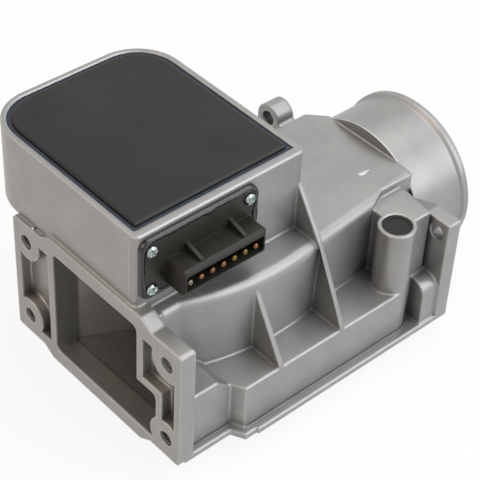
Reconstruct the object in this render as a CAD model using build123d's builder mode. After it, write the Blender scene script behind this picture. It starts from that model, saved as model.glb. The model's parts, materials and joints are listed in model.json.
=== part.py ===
from build123d import *
import os
from math import asin, cos, degrees, radians, sin, sqrt, tan

# Vane air flow meter for an intake tract, all sizes in millimetres.
# The origin is the centre of the inlet flange's face. Air flows along +Y, the connector is on the +X side
# and the electronics box stands on top, towards +Z.

# Inlet flange
flange_width = 96.6
flange_height = 54.4
flange_thickness = 6.6
pad_width = 53.0
pad_height = 61.0
pad_slope = 5.6
flange_rim = 3.2
flange_corner = 1.5
bolt_pitch_x = 81.4
bolt_pitch_z = 37.2
bolt_bore = 6.4
bolt_boss_radius = 7.8
entry_boss_radius = 8.6
pocket_depth = 4.6
pocket_top_rim = 5.8
pocket_bottom_rim = 4.4

# Air path
duct_size = 48.8
duct_corner = 2.5
wall = 3.0
inlet_length = 9.5
floor_step = 0.9
pivot_inset = 4.4
pivot_y = 40.0
vane_overreach = 0.6
tip_gap = 0.5
rest_angle = -12.0
vane_swing = 78.0
flap_spread = 100.0
bulge_start_y = 17.6
bulge_out = 6.6
bulge_end_y = 78.0
shoulder_out = 3.6
shoulder_y = 108.0
neck_y = 116.0
deflector_start_y = 11.0
deflector_angle = 27.0
damper_short = 7.4
hub_radius = 7.0
hub_gap = 1.0
chamber_side = 3.5
chamber_lap = 4.0
roof_round = 3.5
rear_round = 5.0

# Outlet spigot
outlet_x = 1.8
collar_y = 133.4
spigot_radius = 32.7
spigot_wall = 3.0
meter_length = 162.5
lip_height = 1.4
lip_width = 3.5
throat_corner = 12.0

# Foot flange and bottom cover
foot_height = 2.5
foot_reach = 3.3
cover_thickness = 2.0
cover_overlap = 3.3
cover_gap = 0.6
cover_rear_rim = 1.2

# By-pass channel under the side ledge
ledge_out = 25.7
ledge_rise = 20.0
ledge_front_out = 20.3
ledge_jog_y = 26.7
ledge_jog_run = 2.8
entry_rise = 24.8
entry_end_y = 20.4
entry_slope = 5.6
niche_out = 10.7
niche_rise = 23.45
niche_depth = 5.0
channel_width = 8.3

# Mixture screw tube
tube_bore = 12.0
tube_wall = 1.4
tube_y = 110.2
tube_drop = 3.8
tube_flush = 0.1
tube_depth = 9.0
seat_bore = 9.0
orifice_radius = 2.4
port_radius = 2.4
port_wall = 2.0
port_rise = 5.3
web_out = 20.9
pad_front_y = 109.2
pad_back_y = 127.6
pad_slant = 2.4
pad_inner_out = 5.0

# Rear lugs
lug_edge = 5.7
lug_thickness = 6.4
round_lug_thickness = 8.4
lug_drop = 6.4
lug_pitch = 93.5
lug_hole_drop = 12.4
lug_hole = 6.5
lug_round = 6.2
heel_width = 8.8
heel_length = 8.0
heel_inset = 1.0
heel_drop = 0.5
heel_round = 6.0

# Outer ribs
rib_thickness = 1.9
rib_foot = 1.0
small_rib_out = 1.9
big_rib_out = 3.9
small_rib_y = 46.5
big_rib_y = 77.4
big_rib_rise = 24.6

# Electronics box
box_overhang = 43.7
box_inset = 2.5
box_front = 1.65
box_back = 78.7
box_height = 34.5
box_round = 19.0
box_corner = 2.0
box_base_round = 5.0
round_margin = 0.01
rim_width = 2.1
rim_side_extra = 1.4
shelf_width = 1.5
shelf_depth = 4.3
lid_gap = 0.3
lid_brim = 2.0
brim_thickness = 1.2
lid_rise = 0.7
lid_thickness = 2.6
lid_wall = 2.0
lid_edge_round = 1.0
seal_sink = 0.6

# Shaft and bearings
shaft_radius = 3.0
running_gap = 0.03
bush_wall = 2.2
lower_bush_length = 6.0
cover_boss_height = 5.0
cover_boss_wall = 1.8
upper_boss_height = 5.5
upper_boss_wall = 3.3
shoulder_height = 2.1
shoulder_width = 2.0
bush_flange_radius = 11.0
bush_flange_thickness = 1.0
vane_end_gap = 0.5
flap_root = 4.0
flap_tip = 2.0
flap_rib_width = 1.6
flap_rib_pitch = 22.0
pin_radius = 1.0
pin_angle = 38.0
clip_width = 0.7
clip_groove_depth = 0.5
clip_radius = 5.0
end_gap = 0.3

# Rotor stack above the box floor
stack_rise = 7.8
spring_seat_height = 6.4
arm_seat_height = 4.0
wiper_seat_height = 3.0
spring_seat_radius = 7.2
arm_seat_radius = 6.2
wiper_seat_radius = 5.0
arm_thickness = 1.6
arm_width = 8.0
arm_length = 35.0
arm_angle = 150.0
weight_radius = 7.0
weight_place = 21.0
weight_height = 6.0
weight_bevel = 0.5
wiper_overhang = 1.2
wiper_lead = 23.0
wiper_thickness = 1.6
wiper_width = 7.0
nut_height = 3.0
nut_flats = 8.0
thread_radius = 2.5
thread_proud = 0.6

# Spring wheel and spiral spring
wheel_bore_gap = 0.2
wheel_disc = 3.2
wheel_height = 11.5
wheel_rim_radius = 26.8
wheel_rim_wall = 2.5
wheel_teeth = 60
tooth_width = 1.3
tooth_height = 1.4
spring_inner = 7.9
spring_turns = 6
spring_strip = 0.35
spring_height = 5.0
spring_rise = 7.6
window_radius = 4.5
window_place = 17.5
window_count = 4

# Stops and wheel catch
stop_radius = 33.0
buffer_radius = 3.5
buffer_core = 2.0
buffer_height = 4.6
stop_gap = 0.3
catch_angle = 189.0
catch_radius = 36.5
catch_post_radius = 3.0
catch_post_height = 9.6
catch_thickness = 0.8
catch_width = 5.0
catch_tip = 0.8
catch_taper = 5.6
catch_screw_radius = 1.25
catch_screw_length = 5.0
catch_head_radius = 2.2
catch_head_height = 1.5

# Potentiometer board
board_width = 18.4
board_gap = 7.5
board_front = 8.0
board_back = 72.0
board_rise = 15.6
board_thickness = 0.8
board_inner_margin = 2.0
post_inset = 14.1
post_pitch_x = 7.0
post_pitch_y = 57.0
post_radius = 2.6
board_screw_radius = 1.0
board_screw_length = 6.0
board_head_radius = 2.0
board_head_height = 1.4
track_pitch = 4.0
track_gap = 0.6
track_width = 2.0
track_thickness = 0.06
track_overrun = 4.0
contact_gap = 0.15
finger_thickness = 0.3
finger_width = 1.4
strip_inset = 9.3
strip_width = 1.6
strip_thickness = 0.4

# Connector
plate_front = 3.1
plate_back = 54.9
plate_rise = 6.6
plate_height = 25.7
plate_thickness = 1.1
gasket_thickness = 0.5
plate_corner = 3.5
shroud_reach = 9.5
shroud_middle_y = 32.7
shroud_length = 38.8
shroud_rise = 8.8
shroud_height = 11.1
shroud_side_wall = 1.8
shroud_bottom_wall = 1.7
shroud_top_wall = 2.6
shroud_corner = 2.0
shroud_inner_corner = 0.8
lip_bevel = 1.3
pin_count = 7
pin_pitch = 5.0
pin_radius_out = 1.15
pin_tip_bevel = 0.35
pin_set_back = 0.9
pin_drop = 1.0
header_margin = 2.6
header_gap = 0.2
header_height = 8.2
leg_inset = 6.3
leg_proud = 0.8
gusset_thickness = 1.6
gusset_rise = 3.2
gusset_front_rise = 0.9
gusset_pitch = 19.6
plate_screw_pitch_y = 43.9
plate_screw_pitch_z = 17.3
plate_screw_y = 29.1
plate_screw_rise = 18.8
screw_radius = 1.4
screw_head_radius = 2.4
screw_head_height = 1.6
screw_length = 6.0

# Air temperature sensor in the inlet
sensor_inset = 16.0
sensor_y = 19.0
sensor_radius = 4.0
sensor_drop = 6.0
probe_wall = 0.8
probe_length = 5.6
sensor_leg_radius = 0.4
sensor_leg_pitch = 3.0
sensor_flange = 5.2
sensor_flange_height = 1.5

# Mixture screw
mixture_length = 9.2
mixture_sink = 0.4
needle_length = 11.5
needle_root = 2.6
needle_tip = 1.2
ring_width = 1.6
ring_depth = 1.0
ring_rise = 2.2
plug_length = 8.0
plug_sink = 0.3
plug_dish_wall = 1.2
plug_dish_depth = 0.25

# Levels and places that follow from the sizes above
duct_half = duct_size / 2
rear_y = collar_y - wall
roof_under = duct_half
roof_z = duct_half + wall
floor_z = -duct_half - floor_step
base_z = floor_z - foot_height
ledge_z = floor_z + ledge_rise
channel_top_z = ledge_z - wall
entry_top_z = floor_z + entry_rise
niche_mouth_z = niche_rise - duct_half
tube_top_z = roof_z - tube_drop
port_z = ledge_z + port_rise
port_y = pad_front_y + port_wall + port_radius
lug_top_z = roof_z - lug_drop
lug_hole_z = roof_z - lug_hole_drop
heel_top_z = ledge_z - heel_drop
big_rib_top_z = roof_z + big_rib_rise
box_top = roof_z + box_height
pivot_x = pivot_inset - duct_half
bulge_end_x = duct_half + bulge_out
shoulder_x = duct_half + shoulder_out
ledge_x = duct_half + ledge_out
ledge_front_x = duct_half + ledge_front_out
niche_x = duct_half + niche_out
web_x = duct_half + web_out
pad_inner_x = duct_half + pad_inner_out
box_left = -duct_half - box_overhang
box_right = duct_half - box_inset
sensor_x = duct_half - sensor_inset
right_lug_x = outlet_x + lug_pitch / 2
left_lug_x = outlet_x - lug_pitch / 2
lug_reach = right_lug_x + lug_edge
vane_reach = duct_size + vane_overreach
damper_reach = vane_reach - damper_short
vane_bottom = floor_z + vane_end_gap
vane_top = roof_under - vane_end_gap
pivot = Vector(pivot_x, pivot_y)
hub_pocket = hub_radius + hub_gap
damper_chamber = damper_reach + tip_gap
damper_angle = rest_angle + flap_spread
shelf_z = box_top - shelf_depth
bush_radius = shaft_radius + bush_wall
cover_boss_radius = bush_radius + cover_boss_wall
cover_boss_top = floor_z + cover_boss_height
upper_boss_radius = bush_radius + upper_boss_wall
upper_boss_top = roof_z + upper_boss_height
tube_radius = tube_bore / 2 + tube_wall
tube_x = ledge_x - tube_radius - tube_flush
bush_flange_top = upper_boss_top + bush_flange_thickness
stack_start = roof_z + stack_rise
spring_bottom = roof_z + spring_rise
catch_post_top = roof_z + catch_post_height
spring_seat_top = stack_start + spring_seat_height
arm_seat_top = spring_seat_top + arm_seat_height
wiper_seat_top = arm_seat_top + wiper_seat_height
shaft_top = wiper_seat_top + nut_height + thread_proud
wiper_angle = rest_angle - wiper_lead
shroud_bottom = roof_z + shroud_rise
shroud_top = shroud_bottom + shroud_height
pin_level = (shroud_bottom + shroud_bottom_wall + shroud_top - shroud_top_wall) / 2 - pin_drop
shroud_front_x = box_right + gasket_thickness + plate_thickness + shroud_reach
plate_bottom = roof_z + plate_rise
plate_top = plate_bottom + plate_height
plate_screw_z = roof_z + plate_screw_rise
board_level = roof_z + board_rise
board_top = board_level + board_thickness
board_right = box_right - board_gap
board_left = board_right - board_width
post_x = box_right - post_inset
strip_start_x = box_right - strip_inset
outer_track = strip_start_x - pivot_x - track_gap - track_width / 2
track_radii = (outer_track, outer_track - track_pitch)
wiper_length = outer_track + track_width / 2 + wiper_overhang
board_inner_radius = min(track_radii) - track_width / 2 - board_inner_margin
leg_x = box_right - leg_inset
leg_top = board_top + leg_proud


def polar(radius, angle, centre=pivot):
    """Point at a radius and an angle in degrees about the shaft."""
    return (centre.X + radius * cos(radians(angle)), centre.Y + radius * sin(radians(angle)))


def turned(angle):
    """Horizontal plane on the shaft, with its x axis turned by an angle."""
    direction = (cos(radians(angle)), sin(radians(angle)), 0)
    return Plane(origin=(pivot_x, pivot_y, 0), x_dir=direction, z_dir=(0, 0, 1))


def grown(plan, amount):
    """Plan sketch enlarged all round, with sharp corners."""
    with BuildSketch() as larger:
        add(plan.sketch_local)
        offset(amount=amount, kind=Kind.INTERSECTION)
    return larger.sketch


# Plan of the flap chamber and the rear duct
wall_seat = polar(vane_reach + tip_gap, rest_angle)
deflector_end_y = pivot_y - hub_radius
deflector_end_x = -duct_half + (deflector_end_y - deflector_start_y) * tan(radians(deflector_angle))
chamber_back_y = pivot_y + sqrt(damper_chamber**2 - pivot_inset**2)
rear_start_y = chamber_back_y + 2 * wall

with BuildSketch() as flow_plan:
    with BuildLine():
        inlet_edge = Polyline((duct_half, bulge_start_y), (duct_half, inlet_length), (-duct_half, inlet_length))
        ThreePointArc(inlet_edge @ 0, wall_seat, (bulge_end_x, bulge_end_y))
        Polyline(
            (bulge_end_x, bulge_end_y),
            (shoulder_x, shoulder_y),
            (duct_half, neck_y),
            (duct_half, rear_y),
            (outlet_x - duct_half + rear_round, rear_y),
            (outlet_x - duct_half, rear_y - rear_round),
            (outlet_x - duct_half, rear_start_y),
            (-duct_half, chamber_back_y),
            (pivot_x, pivot_y),
            (deflector_end_x, deflector_end_y),
            (-duct_half, deflector_start_y),
            inlet_edge @ 1,
        )
    make_face()
    with BuildLine():
        chamber_start = polar(damper_chamber, damper_angle + chamber_lap)
        chamber_low = (pivot_x - damper_chamber, pivot_y - chamber_side)
        ThreePointArc(chamber_start, polar(damper_chamber, 135), (pivot_x - damper_chamber, pivot_y))
        chamber_foot = (pivot_x, pivot_y - chamber_side)
        Polyline((pivot_x - damper_chamber, pivot_y), chamber_low, chamber_foot, pivot, chamber_start)
    make_face()
    with Locations(pivot):
        Circle(hub_pocket)

# Plan of the by-pass channel and of the block around it
channel_left = ledge_x - wall - channel_width
with BuildSketch() as channel_plan:
    with BuildLine():
        Polyline(
            (duct_half - wall, inlet_length),
            (ledge_front_x - wall, inlet_length),
            (ledge_front_x - wall, ledge_jog_y + wall),
            (ledge_x - wall, ledge_jog_y + ledge_jog_run + wall),
            (ledge_x - wall, tube_y),
            (channel_left, tube_y),
            (channel_left, ledge_jog_y + 3 * wall),
            (duct_half + 2 * wall, bulge_start_y + 2 * wall),
            (duct_half + wall, bulge_start_y - wall),
            (duct_half - wall, bulge_start_y - wall),
            close=True,
        )
    make_face()
    with Locations((ledge_x - wall - channel_width / 2, tube_y)):
        Circle(channel_width / 2)

with BuildSketch() as ledge_plan:
    with BuildLine():
        Polyline(
            (0, flange_thickness / 2),
            (ledge_front_x, flange_thickness / 2),
            (ledge_front_x, ledge_jog_y),
            (ledge_x, ledge_jog_y + ledge_jog_run),
            (ledge_x, tube_y),
            (web_x, tube_y),
            (web_x, collar_y - lug_thickness),
            (0, collar_y - lug_thickness),
            close=True,
        )
    make_face()

# Plan of the whole foot and of the recess for the bottom cover
with BuildSketch() as foot_plan:
    add(grown(flow_plan, wall + foot_reach))
    add(grown(ledge_plan, foot_reach))
    with BuildLine():
        Polyline(
            (0, ledge_jog_y + wall + foot_reach),
            (lug_reach, ledge_jog_y + wall + foot_reach),
            (lug_reach, collar_y),
            (0, collar_y),
            close=True,
        )
    make_face()
    foot_length = collar_y - flange_thickness / 2
    with Locations((0, flange_thickness / 2 + foot_length / 2)):
        Rectangle(4 * lug_reach, foot_length, mode=Mode.INTERSECT)

cover_start = inlet_length - cover_overlap
cover_end = collar_y - cover_rear_rim
with BuildSketch() as cover_recess_plan:
    add(grown(flow_plan, cover_overlap))
    add(grown(channel_plan, cover_overlap))
    with Locations((0, (cover_start + cover_end) / 2)):
        Rectangle(4 * lug_reach, cover_end - cover_start, mode=Mode.INTERSECT)


def round_bar(radius, bottom, top, centre=(0, 0), mode=Mode.ADD):
    """Upright round bar or hole inside the part that is being built."""
    with BuildSketch(Plane.XY.offset(bottom)) as outline:
        with Locations(centre):
            Circle(radius)
    extrude(outline.sketch, amount=top - bottom, mode=mode)


def plate(plan, bottom, top, mode=Mode.ADD):
    """Flat slab with the outline of a sketch."""
    with BuildSketch(Plane.XY.offset(bottom)) as outline:
        add(plan)
    extrude(outline.sketch, amount=top - bottom, mode=mode)


def block(left, right, front, back, bottom, top, mode=Mode.ADD):
    """Rectangular block between two corners."""
    with BuildSketch(Plane.XY.offset(bottom)) as outline:
        with Locations(((left + right) / 2, (front + back) / 2)):
            Rectangle(right - left, back - front)
    extrude(outline.sketch, amount=top - bottom, mode=mode)


def finish(part, name):
    """Label a finished piece and write it."""
    part.part.label = name
    export_step(part.part, f"parts/{name}.step")
    print(name, len(part.part.solids()), round(part.part.volume, 2))


def box_outline(inset, extra_side=0.0):
    """Plan of the electronics box, drawn in by an inset, with its two large corners on the -X side."""
    left = box_left + inset
    right = box_right - inset - extra_side
    front = box_front + inset
    back = box_back - inset
    large = max(box_round - inset, 1.0)
    small = max(box_corner - inset, 0.6)
    with BuildSketch() as outline:
        with Locations(((left + right) / 2, (front + back) / 2)):
            Rectangle(right - left, back - front)
        fillet(outline.vertices().group_by(Axis.X)[0], radius=large)
        fillet(outline.vertices().group_by(Axis.X)[-1], radius=small)
    return outline.sketch


os.makedirs("parts", exist_ok=True)
bolt_places = GridLocations(bolt_pitch_x, bolt_pitch_z, 2, 2)

# Flange outline, with the raised middle above and below the duct
with BuildSketch(Plane.XZ) as flange_plan:
    Rectangle(flange_width, flange_height)
    fillet(flange_plan.vertices(), radius=flange_corner)
    with BuildLine():
        Polyline(
            (pad_width / 2, pad_height / 2),
            (pad_width / 2 + pad_slope, flange_height / 2),
            (pad_width / 2 + pad_slope, -flange_height / 2),
            (pad_width / 2, -pad_height / 2),
            (-pad_width / 2, -pad_height / 2),
            (-pad_width / 2 - pad_slope, -flange_height / 2),
            (-pad_width / 2 - pad_slope, flange_height / 2),
            (-pad_width / 2, pad_height / 2),
            close=True,
        )
    make_face()

# Mouth of the duct, with the by-pass entry beside its lower right corner
with BuildSketch(Plane.XZ) as mouth_plan:
    with Locations((niche_x / 2, (niche_mouth_z - duct_half) / 2)):
        Rectangle(niche_x, duct_half + niche_mouth_z)
    fillet(mouth_plan.vertices().sort_by_distance((niche_x, niche_mouth_z))[0], radius=duct_corner)
    with bolt_places:
        Circle(entry_boss_radius, mode=Mode.SUBTRACT)
    RectangleRounded(duct_size, duct_size, duct_corner)

# Shallow pockets in the flange face, left and right of the duct
pocket_height = flange_height - pocket_top_rim - pocket_bottom_rim
with BuildSketch(Plane.XZ) as pocket_plan:
    with Locations((0, (pocket_bottom_rim - pocket_top_rim) / 2)):
        RectangleRounded(flange_width - 2 * flange_rim, pocket_height, flange_corner)
    with Locations(((niche_x + wall) / 2, (niche_mouth_z - duct_half) / 2)):
        Rectangle(niche_x + wall, duct_half + niche_mouth_z + 2 * wall, mode=Mode.SUBTRACT)
    Rectangle(duct_size + 2 * wall, flange_height, mode=Mode.SUBTRACT)
    with bolt_places:
        Circle(bolt_boss_radius, mode=Mode.SUBTRACT)


def lengthwise(plan, front, back, mode=Mode.ADD):
    """Block along the air flow with the outline of an upright sketch."""
    with BuildSketch(Plane.XZ.offset(-front)) as outline:
        add(plan)
    extrude(outline.sketch, amount=front - back, mode=mode)


def sideways(plan, left, right, mode=Mode.ADD):
    """Block across the air flow with the outline of a sketch in Y and Z."""
    with BuildSketch(Plane.YZ.offset(left)) as outline:
        add(plan)
    extrude(outline.sketch, amount=right - left, mode=mode)


# Lower part of the electronics box, rounded beneath where it stands clear of the duct
with BuildPart() as box_base:
    with BuildSketch(Plane.XY.offset(roof_under)) as base_plan:
        add(box_outline(0))
        with Locations((-duct_half, 0)):
            Rectangle(box_right + duct_half, 2 * box_back, align=(Align.MIN, Align.CENTER), mode=Mode.SUBTRACT)
    extrude(amount=box_base_round)
    under = box_base.edges().group_by(Axis.Z)[0].sort_by(Axis.X)[:-1]
    fillet(under, radius=box_base_round - round_margin)

with BuildSketch() as box_side_plan:
    add(box_outline(0))
    with Locations((-duct_half, 0)):
        Rectangle(box_round + duct_size, 2 * box_back, align=(Align.MAX, Align.CENTER), mode=Mode.SUBTRACT)

# Section of the duct walls just behind the flange, and the opening between duct and spigot
with BuildSketch(Plane.XZ) as mouth_walls:
    Rectangle(duct_size + 2 * wall, duct_size + 2 * wall)
with BuildSketch(Plane.XZ) as throat_plan:
    with Locations((outlet_x, 0)):
        RectangleRounded(duct_size - 2 * outlet_x, duct_size, throat_corner)
with BuildSketch(Plane.XZ) as spigot_bore:
    with Locations((outlet_x, 0)):
        Circle(spigot_radius - spigot_wall)

# Pad beside the screw tube
with BuildSketch() as pad_plan:
    with BuildLine():
        Polyline(
            (duct_half - wall, pad_front_y),
            (tube_x, pad_front_y),
            (web_x, tube_y),
            (web_x, pad_back_y - pad_slant),
            (pad_inner_x, pad_back_y),
            (duct_half - wall, pad_back_y),
            close=True,
        )
    make_face()

# Rear lugs, square on the right and round on the left
with BuildSketch(Plane.XZ) as right_lug_plan:
    with BuildLine():
        Polyline(
            (duct_half, base_z),
            (lug_reach, base_z),
            (lug_reach, lug_top_z),
            (right_lug_x - lug_round, lug_top_z),
            (duct_half, lug_top_z - lug_round),
            close=True,
        )
    make_face()
    with Locations((right_lug_x, lug_hole_z)):
        Circle(lug_hole / 2, mode=Mode.SUBTRACT)
with BuildSketch(Plane.XZ) as left_lug_plan:
    with BuildLine():
        Polyline(
            (-duct_half, base_z),
            (left_lug_x - lug_round, base_z),
            (left_lug_x - lug_round, lug_hole_z),
            (left_lug_x + lug_round, lug_hole_z),
            (-duct_half, lug_hole_z - lug_round),
            close=True,
        )
    make_face()
    with Locations((left_lug_x, lug_hole_z)):
        Circle(lug_round)
        Circle(lug_hole / 2, mode=Mode.SUBTRACT)

# Heel in front of the right lug
with BuildSketch(Plane.XZ) as heel_plan:
    with Locations((lug_reach - heel_inset, floor_z)):
        Rectangle(heel_width, heel_top_z - floor_z, align=(Align.MAX, Align.MIN))
    fillet(heel_plan.vertices().sort_by_distance((lug_reach, heel_top_z))[0], radius=heel_round)

# Entry of the by-pass channel, with its sloping back
with BuildSketch() as entry_plan:
    Polygon(
        (flange_thickness / 2, floor_z),
        (flange_thickness / 2, entry_top_z),
        (entry_end_y, entry_top_z),
        (entry_end_y + entry_slope, ledge_z),
        (entry_end_y + entry_slope, floor_z),
        align=None,
    )

# Gussets on the outside
with BuildSketch(Plane.XZ) as small_rib:
    with BuildLine():
        Polyline(
            (duct_half, roof_under),
            (bulge_end_x, roof_under),
            (bulge_end_x + small_rib_out, roof_z - roof_round / 3),
            (ledge_x, ledge_z + rib_foot),
            (ledge_x, ledge_z),
            (duct_half, ledge_z),
            close=True,
        )
    make_face()
with BuildSketch(Plane.XZ) as big_rib:
    with BuildLine():
        Polyline(
            (box_right - wall, big_rib_top_z),
            (bulge_end_x + big_rib_out, roof_z),
            (ledge_x, ledge_z + rib_foot),
            (ledge_x, ledge_z),
            (box_right - wall, ledge_z),
            close=True,
        )
    make_face()

# Places inside the electronics box
side_wall = rim_width + rim_side_extra + shelf_width
board_middle_y = (board_front + board_back) / 2
stop_angle = degrees(asin((arm_width / 2 + stop_gap + buffer_radius) / stop_radius))
stop_angles = (arm_angle - stop_angle, arm_angle + vane_swing + stop_angle)
buffer_bottom = spring_seat_top - (buffer_height - arm_thickness) / 2
header_half = (pin_count - 1) * pin_pitch / 2 + header_margin
pin_middle_y = shroud_middle_y
screw_near_y = plate_screw_y - plate_screw_pitch_y / 2
screw_far_y = plate_screw_y + plate_screw_pitch_y / 2
screw_low_z = plate_screw_z - plate_screw_pitch_z / 2
screw_high_z = plate_screw_z + plate_screw_pitch_z / 2
plate_screw_points = [(screw_near_y, screw_low_z), (screw_near_y, screw_high_z), (screw_far_y, screw_high_z)]
screw_depth = screw_length - plate_thickness - gasket_thickness

# Cast body
with BuildPart() as body_casting:
    plate(grown(flow_plan, wall), floor_z, roof_z)
    roof_edges = body_casting.edges().group_by(Axis.Z)[-1]
    right_roof_edges = roof_edges.filter_by(lambda e: e.center().X > duct_half and e.center().Y < shoulder_y)
    fillet(right_roof_edges, radius=roof_round)
    plate(foot_plan.sketch, base_z, floor_z)
    plate(ledge_plan.sketch, floor_z, ledge_z)
    sideways(entry_plan.sketch, 0, ledge_front_x)
    plate(pad_plan.sketch, floor_z, tube_top_z)
    round_bar(tube_radius, floor_z, tube_top_z, (tube_x, tube_y))
    lengthwise(flange_plan.sketch_local, 0, flange_thickness)
    lengthwise(mouth_walls.sketch_local, 0, inlet_length)
    with BuildSketch(Plane.XY):
        with BuildLine():
            Polyline(
                (outlet_x, collar_y),
                (outlet_x + spigot_radius, collar_y),
                (outlet_x + spigot_radius, meter_length - lip_width - lip_height),
                (outlet_x + spigot_radius + lip_height, meter_length - lip_width),
                (outlet_x + spigot_radius + lip_height, meter_length - lip_height),
                (outlet_x + spigot_radius, meter_length),
                (outlet_x, meter_length),
                close=True,
            )
        make_face()
    revolve(axis=Axis((outlet_x, 0, 0), (0, 1, 0)))
    lengthwise(right_lug_plan.sketch_local, collar_y - lug_thickness, collar_y)
    lengthwise(left_lug_plan.sketch_local, collar_y - round_lug_thickness, collar_y)
    lengthwise(heel_plan.sketch_local, collar_y - lug_thickness - heel_length, collar_y - lug_thickness)
    lengthwise(small_rib.sketch_local, small_rib_y - rib_thickness / 2, small_rib_y + rib_thickness / 2)
    lengthwise(big_rib.sketch_local, big_rib_y - rib_thickness / 2, big_rib_y + rib_thickness / 2)

    # Electronics box with its recessed rim and cavity
    add(box_base.part)
    plate(box_side_plan.sketch, roof_under, roof_under + box_base_round)
    plate(box_outline(0), roof_under + box_base_round, box_top)
    plate(box_outline(rim_width, rim_side_extra), shelf_z, box_top, Mode.SUBTRACT)
    plate(box_outline(rim_width + shelf_width, rim_side_extra), roof_z, shelf_z, Mode.SUBTRACT)

    # Air path, by-pass channel and recess for the cover
    lengthwise(pocket_plan.sketch_local, 0, pocket_depth, Mode.SUBTRACT)
    lengthwise(mouth_plan.sketch_local, 0, niche_depth, Mode.SUBTRACT)
    block(-duct_half, duct_half, niche_depth, inlet_length, -duct_half, roof_under, Mode.SUBTRACT)
    block(duct_half, niche_x, niche_depth, inlet_length, -duct_half, entry_top_z - wall, Mode.SUBTRACT)
    block(duct_half, niche_x, inlet_length, entry_end_y - wall, floor_z, entry_top_z - wall, Mode.SUBTRACT)
    plate(flow_plan.sketch, floor_z, roof_under, Mode.SUBTRACT)
    plate(channel_plan.sketch, floor_z, channel_top_z, Mode.SUBTRACT)
    plate(cover_recess_plan.sketch, base_z, floor_z, Mode.SUBTRACT)
    lengthwise(throat_plan.sketch_local, rear_y, collar_y + wall, Mode.SUBTRACT)
    lengthwise(spigot_bore.sketch_local, collar_y + wall, meter_length, Mode.SUBTRACT)
    with BuildSketch(Plane.XZ):
        with bolt_places:
            Circle(bolt_bore / 2)
    extrude(amount=-flange_thickness, mode=Mode.SUBTRACT)

    # Mixture screw tube with its seat, orifice and side port
    round_bar(tube_bore / 2, tube_top_z - tube_depth, tube_top_z, (tube_x, tube_y), Mode.SUBTRACT)
    round_bar(seat_bore / 2, ledge_z, tube_top_z - tube_depth, (tube_x, tube_y), Mode.SUBTRACT)
    round_bar(orifice_radius, channel_top_z, ledge_z, (tube_x, tube_y), Mode.SUBTRACT)
    with BuildSketch(Plane.YZ.offset(duct_half)):
        with Locations((port_y, port_z)):
            Circle(port_radius)
    extrude(amount=tube_x - duct_half, mode=Mode.SUBTRACT)

    # Bearing boss, board posts, stop posts and catch post
    round_bar(upper_boss_radius + shoulder_width, roof_z, roof_z + shoulder_height, (pivot_x, pivot_y))
    round_bar(upper_boss_radius, roof_z, upper_boss_top, (pivot_x, pivot_y))
    round_bar(bush_radius, roof_under, upper_boss_top, (pivot_x, pivot_y), Mode.SUBTRACT)
    with BuildSketch(Plane.XY.offset(roof_z)):
        with Locations((post_x, board_middle_y)):
            with GridLocations(post_pitch_x, post_pitch_y, 2, 2):
                Circle(post_radius)
    extrude(amount=board_level - roof_z)
    with BuildSketch(Plane.XY.offset(board_level)):
        with Locations((post_x, board_middle_y)):
            with GridLocations(post_pitch_x, post_pitch_y, 2, 2):
                Circle(board_screw_radius)
    extrude(amount=board_thickness - board_screw_length, mode=Mode.SUBTRACT)
    for angle in stop_angles:
        round_bar(buffer_radius, roof_z, buffer_bottom, polar(stop_radius, angle))
        round_bar(buffer_core, buffer_bottom, buffer_bottom + buffer_height, polar(stop_radius, angle))
    catch_place = polar(catch_radius, catch_angle)
    round_bar(catch_post_radius, roof_z, catch_post_top, catch_place)
    catch_hole_z = catch_post_top - catch_screw_length
    round_bar(catch_screw_radius, catch_hole_z, catch_post_top, catch_place, Mode.SUBTRACT)

    # Openings for the connector and the air temperature sensor
    block(
        box_right - side_wall,
        box_right,
        pin_middle_y - header_half - header_gap,
        pin_middle_y + header_half + header_gap,
        pin_level - header_height / 2 - header_gap,
        pin_level + header_height / 2 + header_gap,
        Mode.SUBTRACT,
    )
    with BuildSketch(Plane.YZ.offset(box_right)):
        with Locations(*plate_screw_points):
            Circle(screw_radius)
    extrude(amount=-screw_depth, mode=Mode.SUBTRACT)
    round_bar(sensor_radius, roof_under, roof_z, (sensor_x, sensor_y), Mode.SUBTRACT)
finish(body_casting, "body_casting")

# Bottom cover with the boss for the lower bearing
shaft_place = (pivot_x, pivot_y)
cover_bottom = floor_z - cover_thickness
with BuildSketch() as cover_plan:
    add(grown(flow_plan, cover_overlap - cover_gap))
    add(grown(channel_plan, cover_overlap - cover_gap))
    with Locations((0, (cover_start + cover_end) / 2)):
        Rectangle(4 * lug_reach, cover_end - cover_start - 2 * cover_gap, mode=Mode.INTERSECT)
lower_bush_bottom = cover_boss_top - lower_bush_length
with BuildPart() as bottom_cover:
    plate(cover_plan.sketch, cover_bottom, floor_z)
    round_bar(cover_boss_radius, floor_z, cover_boss_top, shaft_place)
    round_bar(bush_radius, lower_bush_bottom, cover_boss_top, shaft_place, Mode.SUBTRACT)
finish(bottom_cover, "bottom_cover")

with BuildPart() as cover_seal:
    plate(cover_recess_plan.sketch, cover_bottom, floor_z)
    plate(cover_plan.sketch, cover_bottom, floor_z, Mode.SUBTRACT)
finish(cover_seal, "cover_seal")

# Bearing bushes
with BuildPart() as lower_bearing:
    round_bar(bush_radius, lower_bush_bottom, cover_boss_top, shaft_place)
    round_bar(shaft_radius + running_gap, lower_bush_bottom, cover_boss_top, shaft_place, Mode.SUBTRACT)
finish(lower_bearing, "lower_bearing")

with BuildPart() as upper_bearing:
    round_bar(bush_radius, roof_under, upper_boss_top, shaft_place)
    round_bar(bush_flange_radius, upper_boss_top, bush_flange_top, shaft_place)
    round_bar(shaft_radius + running_gap, roof_under, bush_flange_top, shaft_place, Mode.SUBTRACT)
finish(upper_bearing, "upper_bearing")


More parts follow.
